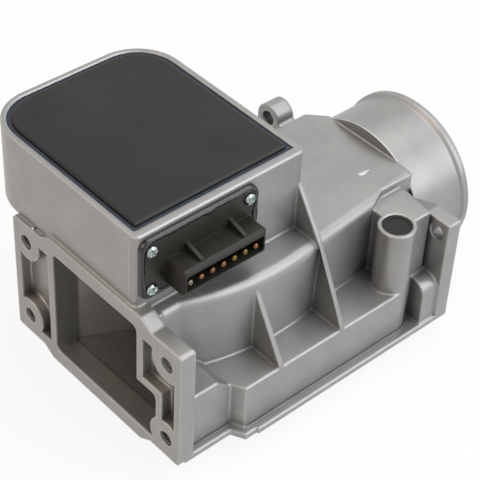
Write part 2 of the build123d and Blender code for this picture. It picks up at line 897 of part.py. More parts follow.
def cross_pin(radius, half_length, mode=Mode.ADD):
    """Level pin through the shaft, or the hole for it."""
    direction = (cos(radians(pin_angle)), sin(radians(pin_angle)), 0)
    with BuildSketch(Plane(origin=(pivot_x, pivot_y, 0), z_dir=direction)) as outline:
        Circle(radius)
    extrude(outline.sketch, amount=half_length, both=True, mode=mode)


# Shaft with its retaining clip
clip_bottom = bush_flange_top + end_gap
with BuildPart() as vane_shaft:
    round_bar(shaft_radius, lower_bush_bottom + end_gap, wiper_seat_top - end_gap, shaft_place)
    round_bar(thread_radius, wiper_seat_top - end_gap, shaft_top, shaft_place)
    with BuildSketch(Plane.XY.offset(clip_bottom)):
        with Locations(shaft_place):
            Circle(shaft_radius)
            Circle(shaft_radius - clip_groove_depth, mode=Mode.SUBTRACT)
    extrude(amount=clip_width, mode=Mode.SUBTRACT)
    cross_pin(pin_radius, shaft_radius, Mode.SUBTRACT)
    chamfer(vane_shaft.edges().group_by(Axis.Z)[0], length=clip_groove_depth)
finish(vane_shaft, "vane_shaft")

with BuildPart() as shaft_clip:
    with BuildSketch(turned(rest_angle).offset(clip_bottom)):
        Circle(clip_radius)
        Circle(shaft_radius - clip_groove_depth, mode=Mode.SUBTRACT)
        with Locations((clip_radius, 0)):
            Rectangle(2 * clip_radius, shaft_radius, mode=Mode.SUBTRACT)
    extrude(amount=clip_width)
finish(shaft_clip, "shaft_clip")

# Vane: measuring flap across the duct and damper flap in the side chamber
with BuildPart() as vane:
    round_bar(hub_radius, vane_bottom, vane_top, shaft_place)
    for angle, reach, side in ((rest_angle, vane_reach, 1), (damper_angle, damper_reach, -1)):
        with BuildSketch(turned(angle).offset(vane_bottom)) as flap:
            Polygon(
                (0, -flap_root / 2),
                (reach, -flap_tip / 2),
                (reach, flap_tip / 2),
                (0, flap_root / 2),
                align=None,
            )
        extrude(amount=vane_top - vane_bottom)
        for level in (-flap_rib_pitch / 2, flap_rib_pitch / 2):
            with BuildSketch(turned(angle).offset(level)):
                Polygon((0, 0), (0, side * (hub_radius - flap_tip / 2)), (reach - hub_radius, 0), align=None)
            extrude(amount=flap_rib_width)
    round_bar(shaft_radius, vane_bottom, vane_top, shaft_place, Mode.SUBTRACT)
    recess_top = cover_boss_top + vane_end_gap
    round_bar(cover_boss_radius + vane_end_gap, vane_bottom, recess_top, shaft_place, Mode.SUBTRACT)
    cross_pin(pin_radius, hub_radius, Mode.SUBTRACT)
finish(vane, "vane")

with BuildPart() as vane_pin:
    cross_pin(pin_radius, hub_radius)
finish(vane_pin, "vane_pin")

# Rotor stack above the upper bearing
with BuildPart() as rotor_hub:
    round_bar(spring_seat_radius, stack_start, spring_seat_top, shaft_place)
    round_bar(arm_seat_radius, spring_seat_top, arm_seat_top, shaft_place)
    round_bar(wiper_seat_radius, arm_seat_top, wiper_seat_top, shaft_place)
    round_bar(shaft_radius, stack_start, wiper_seat_top, shaft_place, Mode.SUBTRACT)
finish(rotor_hub, "rotor_hub")

rivet_radius = arm_width / 4
with BuildPart() as counterweight_arm:
    with BuildSketch(turned(arm_angle).offset(spring_seat_top)):
        Circle(arm_seat_radius + arm_width / 2)
        Rectangle(arm_length - arm_width / 2, arm_width, align=(Align.MIN, Align.CENTER))
        with Locations((arm_length - arm_width / 2, 0)):
            Circle(arm_width / 2)
        Circle(arm_seat_radius, mode=Mode.SUBTRACT)
        with Locations((weight_place, 0)):
            Circle(rivet_radius, mode=Mode.SUBTRACT)
    extrude(amount=arm_thickness)
finish(counterweight_arm, "counterweight_arm")

with BuildPart() as counterweight:
    with BuildSketch(turned(arm_angle).offset(spring_seat_top)):
        with Locations((weight_place, 0)):
            Circle(rivet_radius)
    extrude(amount=arm_thickness)
    with BuildSketch(turned(arm_angle).offset(spring_seat_top + arm_thickness)):
        with Locations((weight_place, 0)):
            Circle(weight_radius)
    extrude(amount=weight_height)
    chamfer(counterweight.edges().group_by(Axis.Z)[-1], length=weight_bevel)
finish(counterweight, "counterweight")

with BuildPart() as wiper_arm:
    with BuildSketch(turned(wiper_angle).offset(arm_seat_top)):
        Circle(wiper_seat_radius + wiper_width / 2)
        Rectangle(wiper_length, wiper_width, align=(Align.MIN, Align.CENTER))
        Circle(wiper_seat_radius, mode=Mode.SUBTRACT)
    extrude(amount=wiper_thickness)
finish(wiper_arm, "wiper_arm")

finger_tip_z = board_top + contact_gap
with BuildPart() as wiper_contacts:
    for radius in track_radii:
        start = polar(radius - finger_width / 2, wiper_angle)
        tangent = (-sin(radians(wiper_angle)), cos(radians(wiper_angle)), 0)
        radial = (cos(radians(wiper_angle)), sin(radians(wiper_angle)), 0)
        with BuildSketch(Plane(origin=(start[0], start[1], 0), x_dir=tangent, z_dir=radial)):
            Polygon(
                (-wiper_width / 2, arm_seat_top),
                (-wiper_width / 2, arm_seat_top - finger_thickness),
                (0, finger_tip_z),
                (finger_thickness, finger_tip_z),
                (wiper_width / 4, finger_tip_z + finger_thickness),
                (wiper_width / 4, finger_tip_z + 2 * finger_thickness),
                (finger_thickness, finger_tip_z + finger_thickness),
                (-wiper_width / 4, arm_seat_top),
                align=None,
            )
        extrude(amount=finger_width)
finish(wiper_contacts, "wiper_contacts")

with BuildPart() as rotor_nut:
    with BuildSketch(Plane.XY.offset(wiper_seat_top)):
        with Locations(shaft_place):
            RegularPolygon(nut_flats / 2, 6, major_radius=False)
            Circle(thread_radius, mode=Mode.SUBTRACT)
    extrude(amount=nut_height)
finish(rotor_nut, "rotor_nut")

# Toothed wheel that sets the spring
wheel_bottom = roof_z + shoulder_height
wheel_rim_top = wheel_bottom + wheel_height
wheel_inner = wheel_rim_radius - wheel_rim_wall
with BuildPart() as spring_wheel:
    with BuildSketch(Plane.XY.offset(wheel_bottom)):
        with Locations(shaft_place):
            Circle(wheel_rim_radius)
            with PolarLocations(wheel_rim_radius, wheel_teeth):
                Rectangle(2 * tooth_height, tooth_width)
            Circle(upper_boss_radius + wheel_bore_gap, mode=Mode.SUBTRACT)
            with PolarLocations(window_place, window_count, start_angle=arm_angle):
                Circle(window_radius, mode=Mode.SUBTRACT)
    extrude(amount=wheel_rim_top - wheel_bottom)
    round_bar(wheel_inner, wheel_bottom + wheel_disc, wheel_rim_top, shaft_place, Mode.SUBTRACT)
finish(spring_wheel, "spring_wheel")

# Spiral spring, laid as half turns that grow by one step each
first_radius = spring_inner + spring_strip / 2
last_radius = wheel_inner - spring_strip / 2
half_turns = 2 * spring_turns
half_turn_step = (last_radius - first_radius) / half_turns
with BuildPart() as spiral_spring:
    with BuildSketch(Plane.XY.offset(spring_bottom)):
        with BuildLine():
            for half_turn in range(half_turns):
                side = 1 if half_turn % 2 == 0 else -1
                near = first_radius + half_turn * half_turn_step
                far = near + half_turn_step
                ThreePointArc(
                    (pivot_x + side * near, pivot_y),
                    (pivot_x + side * (near - far) / 2, pivot_y + side * (near + far) / 2),
                    (pivot_x - side * far, pivot_y),
                )
        trace(line_width=spring_strip)
    extrude(amount=spring_height)
finish(spiral_spring, "spiral_spring")

with BuildPart() as wheel_catch:
    with BuildSketch(turned(catch_angle).offset(catch_post_top)):
        Polygon(
            (catch_radius + catch_post_radius, -catch_width / 2),
            (catch_radius + catch_post_radius, catch_width / 2),
            (wheel_rim_radius + catch_taper, catch_width / 2),
            (wheel_rim_radius + tooth_height / 2, catch_tip / 2),
            (wheel_rim_radius + tooth_height / 2, -catch_tip / 2),
            (wheel_rim_radius + catch_taper, -catch_width / 2),
            align=None,
        )
        with Locations((catch_radius, 0)):
            Circle(catch_screw_radius, mode=Mode.SUBTRACT)
    extrude(amount=catch_thickness)
finish(wheel_catch, "wheel_catch")

catch_top = catch_post_top + catch_thickness
with BuildPart() as catch_screw:
    round_bar(catch_screw_radius, catch_top - catch_screw_length, catch_top, catch_place)
    round_bar(catch_head_radius, catch_top, catch_top + catch_head_height, catch_place)
finish(catch_screw, "catch_screw")

with BuildPart() as stop_buffers:
    for angle in stop_angles:
        buffer_place = polar(stop_radius, angle)
        round_bar(buffer_radius, buffer_bottom, buffer_bottom + buffer_height, buffer_place)
        round_bar(buffer_core, buffer_bottom, buffer_bottom + buffer_height, buffer_place, Mode.SUBTRACT)
finish(stop_buffers, "stop_buffers")

# Potentiometer board, its two tracks and its screws
with BuildPart() as resistor_board:
    block(board_left, board_right, board_front, board_back, board_level, board_top)
    round_bar(board_inner_radius, board_level, board_top, shaft_place, Mode.SUBTRACT)
    with BuildSketch(Plane.XY.offset(board_level)):
        with Locations((post_x, board_middle_y)):
            with GridLocations(post_pitch_x, post_pitch_y, 2, 2):
                Circle(board_screw_radius)
        with Locations((sensor_x, sensor_y)):
            with GridLocations(sensor_leg_pitch, 1, 2, 1):
                Circle(sensor_leg_radius)
    extrude(amount=board_thickness, mode=Mode.SUBTRACT)
finish(resistor_board, "resistor_board")

track_reach = 2 * track_radii[0]
track_start = wiper_angle - track_overrun
track_end = wiper_angle + vane_swing + track_overrun
with BuildPart() as resistor_tracks:
    with BuildSketch(Plane.XY.offset(board_top)):
        with Locations(shaft_place):
            for radius in track_radii:
                Circle(radius + track_width / 2)
                Circle(radius - track_width / 2, mode=Mode.SUBTRACT)
        Polygon(
            shaft_place,
            polar(track_reach, track_start),
            polar(track_reach, (track_start + track_end) / 2),
            polar(track_reach, track_end),
            align=None,
            mode=Mode.INTERSECT,
        )
    extrude(amount=track_thickness)
finish(resistor_tracks, "resistor_tracks")

with BuildPart() as board_screws:
    with BuildSketch(Plane.XY.offset(board_top)):
        with Locations((post_x, board_middle_y)):
            with GridLocations(post_pitch_x, post_pitch_y, 2, 2):
                Circle(board_screw_radius)
    extrude(amount=-board_screw_length)
    with BuildSketch(Plane.XY.offset(board_top)):
        with Locations((post_x, board_middle_y)):
            with GridLocations(post_pitch_x, post_pitch_y, 2, 2):
                Circle(board_head_radius)
    extrude(amount=board_head_height)
finish(board_screws, "board_screws")

with BuildPart() as contact_strips:
    with BuildSketch(Plane.XY.offset(board_top)):
        with Locations(((strip_start_x + leg_x - pin_radius_out) / 2, pin_middle_y)):
            with GridLocations(1, pin_pitch, 1, pin_count):
                Rectangle(leg_x - pin_radius_out - strip_start_x, strip_width)
    extrude(amount=strip_thickness)
finish(contact_strips, "contact_strips")

# Connector
plate_x = box_right + gasket_thickness
plate_front_x = plate_x + plate_thickness
plate_middle = ((plate_front + plate_back) / 2, (plate_bottom + plate_top) / 2)
with BuildSketch() as plate_plan:
    with Locations(plate_middle):
        RectangleRounded(plate_back - plate_front, plate_top - plate_bottom, plate_corner)
    with Locations(*plate_screw_points):
        Circle(screw_radius, mode=Mode.SUBTRACT)
with BuildSketch() as shroud_plan:
    with Locations((shroud_middle_y, shroud_bottom + shroud_height / 2)):
        RectangleRounded(shroud_length, shroud_height, shroud_corner)
hollow_length = shroud_length - 2 * shroud_side_wall
hollow_height = shroud_height - shroud_bottom_wall - shroud_top_wall
with BuildSketch() as shroud_hollow:
    with Locations((shroud_middle_y, shroud_bottom + shroud_bottom_wall + hollow_height / 2)):
        RectangleRounded(hollow_length, hollow_height, shroud_inner_corner)
with BuildSketch() as header_plan:
    with Locations((pin_middle_y, pin_level)):
        Rectangle(2 * header_half, header_height)
with BuildSketch() as pin_plan:
    with Locations((pin_middle_y, pin_level)):
        with GridLocations(pin_pitch, 1, pin_count, 1):
            Circle(pin_radius_out)
with BuildSketch(Plane.XZ) as gusset_plan:
    Polygon(
        (plate_x, shroud_top - shroud_top_wall / 2),
        (plate_x, shroud_top + gusset_rise),
        (plate_front_x, shroud_top + gusset_rise),
        (shroud_front_x - lip_bevel, shroud_top + gusset_front_rise),
        (shroud_front_x - lip_bevel, shroud_top - shroud_top_wall / 2),
        align=None,
    )

with BuildPart() as connector_housing:
    sideways(plate_plan.sketch, plate_x, plate_front_x)
    sideways(shroud_plan.sketch, plate_x, shroud_front_x)
    lip_edges = connector_housing.edges().group_by(Axis.X)[-1].filter_by(Axis.Y)
    chamfer(lip_edges.sort_by(Axis.Z)[-1], length=lip_bevel)
    for side in (-1, 1):
        gusset_y = shroud_middle_y + side * gusset_pitch / 2
        lengthwise(gusset_plan.sketch_local, gusset_y - gusset_thickness / 2, gusset_y + gusset_thickness / 2)
    sideways(header_plan.sketch, box_right - side_wall, plate_x)
    sideways(shroud_hollow.sketch, plate_front_x, shroud_front_x, Mode.SUBTRACT)
    sideways(pin_plan.sketch, box_right - side_wall, plate_front_x, Mode.SUBTRACT)
finish(connector_housing, "connector_housing")

with BuildPart() as connector_gasket:
    sideways(plate_plan.sketch, box_right, plate_x)
    sideways(header_plan.sketch, box_right, plate_x, Mode.SUBTRACT)
finish(connector_gasket, "connector_gasket")

with BuildPart() as connector_pins:
    sideways(pin_plan.sketch, leg_x, shroud_front_x - pin_set_back)
    chamfer(connector_pins.edges().group_by(Axis.X)[-1], length=pin_tip_bevel)
    with BuildSketch(Plane.XY.offset(pin_level)):
        with Locations((leg_x, pin_middle_y)):
            with GridLocations(1, pin_pitch, 1, pin_count):
                Circle(pin_radius_out)
    extrude(amount=leg_top - pin_level)
finish(connector_pins, "connector_pins")

with BuildPart() as connector_screws:
    with BuildSketch(Plane.YZ.offset(plate_front_x)):
        with Locations(*plate_screw_points):
            Circle(screw_radius)
    extrude(amount=end_gap - screw_length)
    with BuildSketch(Plane.YZ.offset(plate_front_x)):
        with Locations(*plate_screw_points):
            Circle(screw_head_radius)
    extrude(amount=screw_head_height)
    chamfer(connector_screws.edges().group_by(Axis.X)[-1], length=screw_head_height / 4)
finish(connector_screws, "connector_screws")

# Lid and its seal
lid_inset = rim_width + lid_brim
lid_top = box_top + lid_rise
brim_top = shelf_z + brim_thickness
with BuildPart() as lid:
    plate(box_outline(lid_inset, rim_side_extra), shelf_z, lid_top)
    fillet(lid.edges().group_by(Axis.Z)[-1], radius=lid_edge_round)
    plate(box_outline(rim_width + lid_gap, rim_side_extra), shelf_z, brim_top)
    plate(box_outline(lid_inset + lid_wall, rim_side_extra), shelf_z, lid_top - lid_thickness, Mode.SUBTRACT)
finish(lid, "lid")

with BuildPart() as lid_seal:
    plate(box_outline(rim_width, rim_side_extra), brim_top, box_top - seal_sink)
    plate(box_outline(lid_inset, rim_side_extra), brim_top, box_top - seal_sink, Mode.SUBTRACT)
finish(lid_seal, "lid_seal")

# Air temperature sensor in the roof of the inlet
sensor_place = (sensor_x, sensor_y)
sensor_bottom = roof_under - sensor_drop
sensor_top = roof_z + sensor_flange_height
with BuildSketch() as leg_plan:
    with Locations(sensor_place):
        with GridLocations(sensor_leg_pitch, 1, 2, 1):
            Circle(sensor_leg_radius)
with BuildPart() as sensor_holder:
    round_bar(sensor_radius, sensor_bottom, roof_z, sensor_place)
    round_bar(sensor_flange, roof_z, sensor_top, sensor_place)
    plate(leg_plan.sketch, sensor_bottom, sensor_top, Mode.SUBTRACT)
finish(sensor_holder, "sensor_holder")

with BuildPart() as sensor_probe:
    probe_radius = sensor_leg_pitch / 2 + sensor_leg_radius + probe_wall
    round_bar(probe_radius, sensor_bottom - probe_length, sensor_bottom, sensor_place)
    chamfer(sensor_probe.edges(), length=probe_wall / 2)
    plate(leg_plan.sketch, sensor_bottom - probe_length / 2, board_top + board_thickness)
finish(sensor_probe, "sensor_probe")

# Mixture screw, its ring and the plug above it
tube_place = (tube_x, tube_y)
mixture_radius = seat_bore / 2
mixture_top = tube_top_z - tube_depth - mixture_sink
mixture_bottom = mixture_top - mixture_length
with BuildPart() as mixture_screw:
    round_bar(mixture_radius, mixture_bottom, mixture_top, tube_place)
    with BuildSketch(Plane.XY.offset(mixture_bottom)):
        with Locations(tube_place):
            Circle(needle_root)
    with BuildSketch(Plane.XY.offset(mixture_bottom - needle_length)):
        with Locations(tube_place):
            Circle(needle_tip)
    loft()
    with BuildSketch(Plane.XY.offset(mixture_bottom + ring_rise)):
        with Locations(tube_place):
            Circle(mixture_radius)
            Circle(mixture_radius - ring_depth, mode=Mode.SUBTRACT)
    extrude(amount=ring_width, mode=Mode.SUBTRACT)
    with BuildSketch(Plane.XY.offset(mixture_top)):
        with Locations(tube_place):
            Rectangle(2 * mixture_radius, ring_depth)
    extrude(amount=-ring_width, mode=Mode.SUBTRACT)
finish(mixture_screw, "mixture_screw")

with BuildPart() as mixture_seal:
    with BuildSketch(Plane.XY.offset(mixture_bottom + ring_rise)):
        with Locations(tube_place):
            Circle(mixture_radius)
            Circle(mixture_radius - ring_depth, mode=Mode.SUBTRACT)
    extrude(amount=ring_width)
finish(mixture_seal, "mixture_seal")

plug_top = tube_top_z - plug_sink
with BuildPart() as tamper_plug:
    round_bar(tube_bore / 2, plug_top - plug_length, plug_top, tube_place)
    round_bar(tube_bore / 2 - plug_dish_wall, plug_top - plug_dish_depth, plug_top, tube_place, Mode.SUBTRACT)
finish(tamper_plug, "tamper_plug")
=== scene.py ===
# %% [markdown]
# # Dressing a vane air flow meter
# The meter sits between an engine's air filter and its intake hose. Its solids come packed, in metres,
# with the origin in the middle of the inlet flange, +Y along the air flow and +Z up through the
# electronics box. This lesson gives the solids their finishes, adds the small parts a mould or a fitter
# leaves behind, and lights the whole as a catalogue picture.

# %% Load the frame
import json
import math

import bmesh
import bpy
from mathutils import Matrix, Vector, geometry, noise


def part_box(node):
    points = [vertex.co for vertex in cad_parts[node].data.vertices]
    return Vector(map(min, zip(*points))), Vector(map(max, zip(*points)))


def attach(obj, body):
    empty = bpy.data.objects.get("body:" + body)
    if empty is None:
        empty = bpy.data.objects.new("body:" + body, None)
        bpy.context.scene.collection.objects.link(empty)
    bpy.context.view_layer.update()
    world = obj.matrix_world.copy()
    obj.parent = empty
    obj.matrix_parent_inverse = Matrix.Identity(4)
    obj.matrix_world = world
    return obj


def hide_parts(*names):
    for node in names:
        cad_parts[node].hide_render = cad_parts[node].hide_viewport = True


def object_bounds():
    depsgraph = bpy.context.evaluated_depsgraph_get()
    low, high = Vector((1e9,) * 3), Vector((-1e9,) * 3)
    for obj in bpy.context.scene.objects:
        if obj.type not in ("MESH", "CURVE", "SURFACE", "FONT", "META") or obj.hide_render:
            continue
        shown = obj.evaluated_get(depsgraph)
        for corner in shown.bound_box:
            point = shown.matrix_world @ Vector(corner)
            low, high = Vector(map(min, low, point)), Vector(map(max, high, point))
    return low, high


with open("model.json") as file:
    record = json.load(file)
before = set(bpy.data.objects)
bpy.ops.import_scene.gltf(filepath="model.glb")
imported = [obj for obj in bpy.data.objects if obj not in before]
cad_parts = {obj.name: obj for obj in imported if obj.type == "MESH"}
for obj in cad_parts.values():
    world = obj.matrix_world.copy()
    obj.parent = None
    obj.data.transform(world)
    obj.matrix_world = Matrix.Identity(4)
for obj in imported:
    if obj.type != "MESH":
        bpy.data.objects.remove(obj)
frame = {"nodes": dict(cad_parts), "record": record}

MM = 0.001
cad_low, cad_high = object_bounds()
nodes = frame["nodes"]
print("nodes", len(nodes), "box", [round(x, 4) for x in (*cad_low, *cad_high)])

# %% [markdown]
# The camera comes first, because every finish is judged through it. The picture was taken with a long lens
# from the connector's side, well above the object, so the camera is far away and its lens is long too. Its
# direction is set by three angles: azimuth about +Z, elevation, and a small roll.

# %% Camera
AZIMUTH = math.radians(46.43)
ELEVATION = math.radians(41.29)
ROLL = math.radians(3.12)
CAMERA_PLACE = (0.3283, -0.2423, 0.4070)
SENSOR_MM = 36.0
LENS_MM = 118.5
back = Vector((
    math.sin(AZIMUTH) * math.cos(ELEVATION),
    -math.cos(AZIMUTH) * math.cos(ELEVATION),
    math.sin(ELEVATION),
))
level_right = Vector((0, 0, 1)).cross(back).normalized()
level_up = back.cross(level_right)
right = level_right * math.cos(ROLL) + level_up * math.sin(ROLL)
up = level_up * math.cos(ROLL) - level_right * math.sin(ROLL)

lens = bpy.data.cameras.new("catalogue_lens")
lens.sensor_width = SENSOR_MM
lens.lens = LENS_MM
lens.clip_start = 0.01
lens.clip_end = 20.0
camera = bpy.data.objects.new("camera", lens)
camera.matrix_world = Matrix((
    (right.x, up.x, back.x, CAMERA_PLACE[0]),
    (right.y, up.y, back.y, CAMERA_PLACE[1]),
    (right.z, up.z, back.z, CAMERA_PLACE[2]),
    (0, 0, 0, 1),
))
bpy.context.scene.collection.objects.link(camera)
bpy.context.scene.camera = camera
bpy.context.scene.view_settings.view_transform = "Standard"
print("camera", [round(x, 3) for x in camera.matrix_world.translation])

# %% [markdown]
# A few helpers carry all the finishes. Colours are written as the sRGB hex values a picture editor shows,
# and one function turns them to the linear numbers that light is worked out in. Another adds one node: its
# settings are named, and its inputs take a number, a colour or the output of an earlier node. The scale of
# a noise is one over the size of its blotches, in metres here as everything is.

# %% Colour and node helpers
def linear(code):
    """Linear colour, with full alpha, of an sRGB hex code."""
    parts = [int(code[i:i + 2], 16) / 255 for i in (1, 3, 5)]
    return tuple(p / 12.92 if p <= 0.04045 else ((p + 0.055) / 1.055) ** 2.4 for p in parts) + (1.0,)


def put(tree, kind, inputs=None, **settings):
    """Add a node with its settings, and set or link its inputs."""
    added = tree.nodes.new(kind)
    for name, value in settings.items():
        setattr(added, name, value)
    for key, value in (inputs or {}).items():
        if isinstance(value, bpy.types.NodeSocket):
            tree.links.new(value, added.inputs[key])
        else:
            added.inputs[key].default_value = value
    return added


def new_material(name):
    """Empty material with its output, and the coordinates of the object in metres."""
    material = bpy.data.materials.new(name)
    material.use_nodes = True
    material.node_tree.nodes.clear()
    tree = material.node_tree
    output = put(tree, "ShaderNodeOutputMaterial")
    place = put(tree, "ShaderNodeTexCoord").outputs["Object"]
    return material, tree, output, place


def ramp(tree, factor, span, dark, light):
    """Blend between two colours while the factor goes from one end of its span to the other."""
    share = put(tree, "ShaderNodeMapRange", {0: factor, 1: span[0], 2: span[1]}, clamp=True).outputs[0]
    return put(tree, "ShaderNodeMix", {0: share, 6: dark, 7: light}, data_type="RGBA").outputs[2]


print("mid grey in linear light", [round(x, 3) for x in linear("#808080")])

# %% [markdown]
# The parts of the die meet in fine lines. One runs down the front of the electronics box, near its corner.
# The others cross the edges below the box and show only there, so they are drawn only where the surface
# turns. They could be thin ridges of mesh, but they are no higher than a tenth of a millimetre, so a step
# in the bump height is enough. The lines are also mixed towards the pale edge colour, a painted highlight.
# A line is found by comparing one coordinate with its place.

# %% Parting lines of the die
PARTING_LINES_Y_MM = (56.6, 58.0)
PARTING_WIDTH_MM = 0.35
PARTING_HEIGHT_MM = 0.10
PARTING_STRENGTH = 0.6
# Share of the pale edge colour in the lines, a painted highlight.
PARTING_HIGHLIGHT = 0.35
PARTING_AT_EDGES = 2.5
BOX_FLOOR_MM = 27.5
CORNER_LINE_X_MM = 18.05
CORNER_LINE_FRONT_MM = 2.2


def parting_height(tree, place, edge_highlight, lines):
    """Height of the parting lines: one on the box's front, the others on the edges below it, where the edge
    highlight is painted.
    """
    across, along, level = put(tree, "ShaderNodeSeparateXYZ", {0: place}).outputs
    half_width = PARTING_WIDTH_MM * MM / 2
    above = put(tree, "ShaderNodeMath", {
        0: level, 1: BOX_FLOOR_MM * MM,
    }, operation="GREATER_THAN").outputs[0]
    below = put(tree, "ShaderNodeMath", {0: 1.0, 1: above}, operation="SUBTRACT").outputs[0]
    front = put(tree, "ShaderNodeMath", {
        0: along, 1: CORNER_LINE_FRONT_MM * MM,
    }, operation="LESS_THAN").outputs[0]
    height = put(tree, "ShaderNodeMath", {
        0: across, 1: CORNER_LINE_X_MM * MM, 2: half_width,
    }, operation="COMPARE").outputs[0]
    for limit in (front, above):
        height = put(tree, "ShaderNodeMath", {0: height, 1: limit}, operation="MULTIPLY").outputs[0]
    edges = put(tree, "ShaderNodeMath", {0: edge_highlight, 1: below}, operation="MULTIPLY").outputs[0]
    edges = put(tree, "ShaderNodeMath", {0: edges, 1: PARTING_AT_EDGES}, operation="MULTIPLY").outputs[0]
    for line in lines:
        pulse = put(tree, "ShaderNodeMath", {
            0: along, 1: line * MM, 2: half_width,
        }, operation="COMPARE").outputs[0]
        pulse = put(tree, "ShaderNodeMath", {0: pulse, 1: edges}, operation="MULTIPLY").outputs[0]
        height = put(tree, "ShaderNodeMath", {0: pulse, 1: height}, operation="ADD").outputs[0]
    return height


print("parting lines", len(PARTING_LINES_Y_MM) + 1)

# %% [markdown]
# The body is pressure die-cast aluminium, blasted after casting. That gives a fine even grain, a dull
# neutral silver, and edges and corners that catch the light as soft bright lines. Real grit marks are too
# fine to show here, so the grain is drawn a third of a millimetre wide. The skin is oxidised and scatters
# half of the light like a grey paint, so it is only about half metallic. The vane inside gets darker
# colours, painted shade for the dim inside of the duct, and keeps more of the look of metal.
#
# Real fillets could be modelled, but the bevel node rounds every edge and corner for the shader alone, and
# where it turns the surface away from its flat direction the colour is made paler: a painted highlight
# along edges and corners, for the light that fillets catch. Holes and inner corners get painted shade:
# ambient occlusion over a few millimetres finds them and darkens the colour there.

# %% Die-cast aluminium
CLOUD_SPAN = (0.3, 0.7)
CAST_GLOSS_SPREAD = (-0.05, 0.06)
GRAIN_MM = 0.35
GRAIN_HEIGHT_MM = 0.06
BLOTCH_MM = 11.0
EDGE_ROUND_MM = 1.7
# Painted highlight on edges and corners, then painted shade in holes and inner corners:
EDGE_BENDS = (0.99, 0.80)
EDGE_HIGHLIGHT_SHARE = 0.55
EDGE_HIGHLIGHT_COLOUR = "#D2D3D2"
HOLE_SHADE_MM = 8.0
HOLE_OPENNESS = (0.10, 0.55)
HOLE_DARK = 0.22


def cast_aluminium(name, shadow, middle, roughness, metallic, grain=0.25, edge=EDGE_ROUND_MM, lines=()):
    """Blasted casting skin: grain, cloudy colour, painted highlights on edges, painted shade in holes and
    corners, and die parting lines.
    """
    material, tree, output, place = new_material(name)
    grit = put(tree, "ShaderNodeTexNoise", {
        "Vector": place, "Scale": 1 / (GRAIN_MM * MM), "Detail": 3.0,
    }).outputs[0]
    cloud = put(tree, "ShaderNodeTexNoise", {
        "Vector": place, "Scale": 1 / (BLOTCH_MM * MM), "Detail": 4.0,
    }).outputs[0]
    colour = ramp(tree, cloud, CLOUD_SPAN, linear(shadow), linear(middle))
    rounded = put(tree, "ShaderNodeBevel", {"Radius": edge * MM}, samples=6).outputs[0]
    flat = put(tree, "ShaderNodeNewGeometry").outputs["Normal"]
    bend = put(tree, "ShaderNodeVectorMath", {0: rounded, 1: flat}, operation="DOT_PRODUCT").outputs["Value"]
    # Painted highlight: where the bevel bends the normal, the colour is mixed towards a pale metal.
    edge_highlight = put(tree, "ShaderNodeMapRange", {
        0: bend, 1: EDGE_BENDS[0], 2: EDGE_BENDS[1],
    }, clamp=True).outputs[0]
    edge_highlight = put(tree, "ShaderNodeMath", {0: edge_highlight, 1: EDGE_HIGHLIGHT_SHARE}, operation="MULTIPLY").outputs[0]
    highlight_colour = linear(EDGE_HIGHLIGHT_COLOUR)
    colour = put(tree, "ShaderNodeMix", {0: edge_highlight, 6: colour, 7: highlight_colour}, data_type="RGBA").outputs[2]
    normal = rounded
    if lines:
        height = parting_height(tree, place, edge_highlight, lines)
        # Painted highlight: the parting lines are mixed towards the pale edge colour.
        parting_highlight = put(tree, "ShaderNodeMath", {0: height, 1: PARTING_HIGHLIGHT}, operation="MULTIPLY").outputs[0]
        colour = put(tree, "ShaderNodeMix", {0: parting_highlight, 6: colour, 7: highlight_colour}, data_type="RGBA").outputs[2]
        normal = put(tree, "ShaderNodeBump", {
            "Height": height, "Normal": rounded, "Strength": PARTING_STRENGTH,
            "Distance": PARTING_HEIGHT_MM * MM,
        }).outputs[0]
    # Painted shade: ambient occlusion darkens the colour in holes and inner corners.
    hollow = put(tree, "ShaderNodeAmbientOcclusion", {
        "Distance": HOLE_SHADE_MM * MM,
    }, samples=6, only_local=True)
    painted_hole_shade = put(tree, "ShaderNodeMapRange", {
        0: hollow.outputs["AO"], 1: HOLE_OPENNESS[0], 2: HOLE_OPENNESS[1], 3: HOLE_DARK, 4: 1.0,
    }, clamp=True).outputs[0]
    colour = put(tree, "ShaderNodeVectorMath", {0: colour, "Scale": painted_hole_shade}, operation="SCALE").outputs[0]
    gloss = put(tree, "ShaderNodeMapRange", {
        0: grit, 3: roughness + CAST_GLOSS_SPREAD[0], 4: roughness + CAST_GLOSS_SPREAD[1],
    }).outputs[0]
    bump = put(tree, "ShaderNodeBump", {
        "Height": grit, "Normal": normal, "Strength": grain, "Distance": GRAIN_HEIGHT_MM * MM,
    }).outputs[0]
    shader = put(tree, "ShaderNodeBsdfPrincipled", {
        "Base Color": colour, "Metallic": metallic, "Roughness": gloss, "Normal": bump,
    })
    tree.links.new(shader.outputs[0], output.inputs[0])
    return material


body_skin = cast_aluminium("die_cast_aluminium", "#919190", "#9A9A98", 0.35, 0.56, lines=PARTING_LINES_Y_MM)
# Painted shade: the vane's colours are darker for the dim inside of the duct.
vane_skin = cast_aluminium("vane_die_cast_aluminium", "#72716D", "#82817D", 0.40, 0.80, edge=0.5)
print("made", body_skin.name, vane_skin.name)

# %% [markdown]
# Moulded plastics differ mostly in how fine the mould was textured. The lid is a satin ABS with a soft,
# wide reflection and a small dark dot near its middle, painted shade for the dimple where the plastic
# came in. The connector is glass-filled polyamide, matt and slightly mottled. The wheel is polyamide too,
# the hub and the plug are acetal, which looks waxy, and the board is a fired ceramic with carbon ink on
# it. One recipe serves them all: two close colours, a roughness, and the size and height of the grain in
# millimetres.

# %% Moulded plastics
PLASTIC_IOR = 1.52
MOULD_BUMP = 0.35
MOTTLE_SPAN = (0.25, 0.75)
MOULD_GLOSS_SPREAD = (-0.04, 0.08)
LID_GATE_MM = (-25.0, 40.6)
GATE_RADIUS_MM = 0.8
GATE_SOFT_SHARE = 0.5
# Painted shade: colour of the dark dot at the gate's dimple.
GATE_DIMPLE_SHADE = "#050505"
lid_gate = (LID_GATE_MM[0] * MM, LID_GATE_MM[1] * MM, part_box("lid")[1].z)


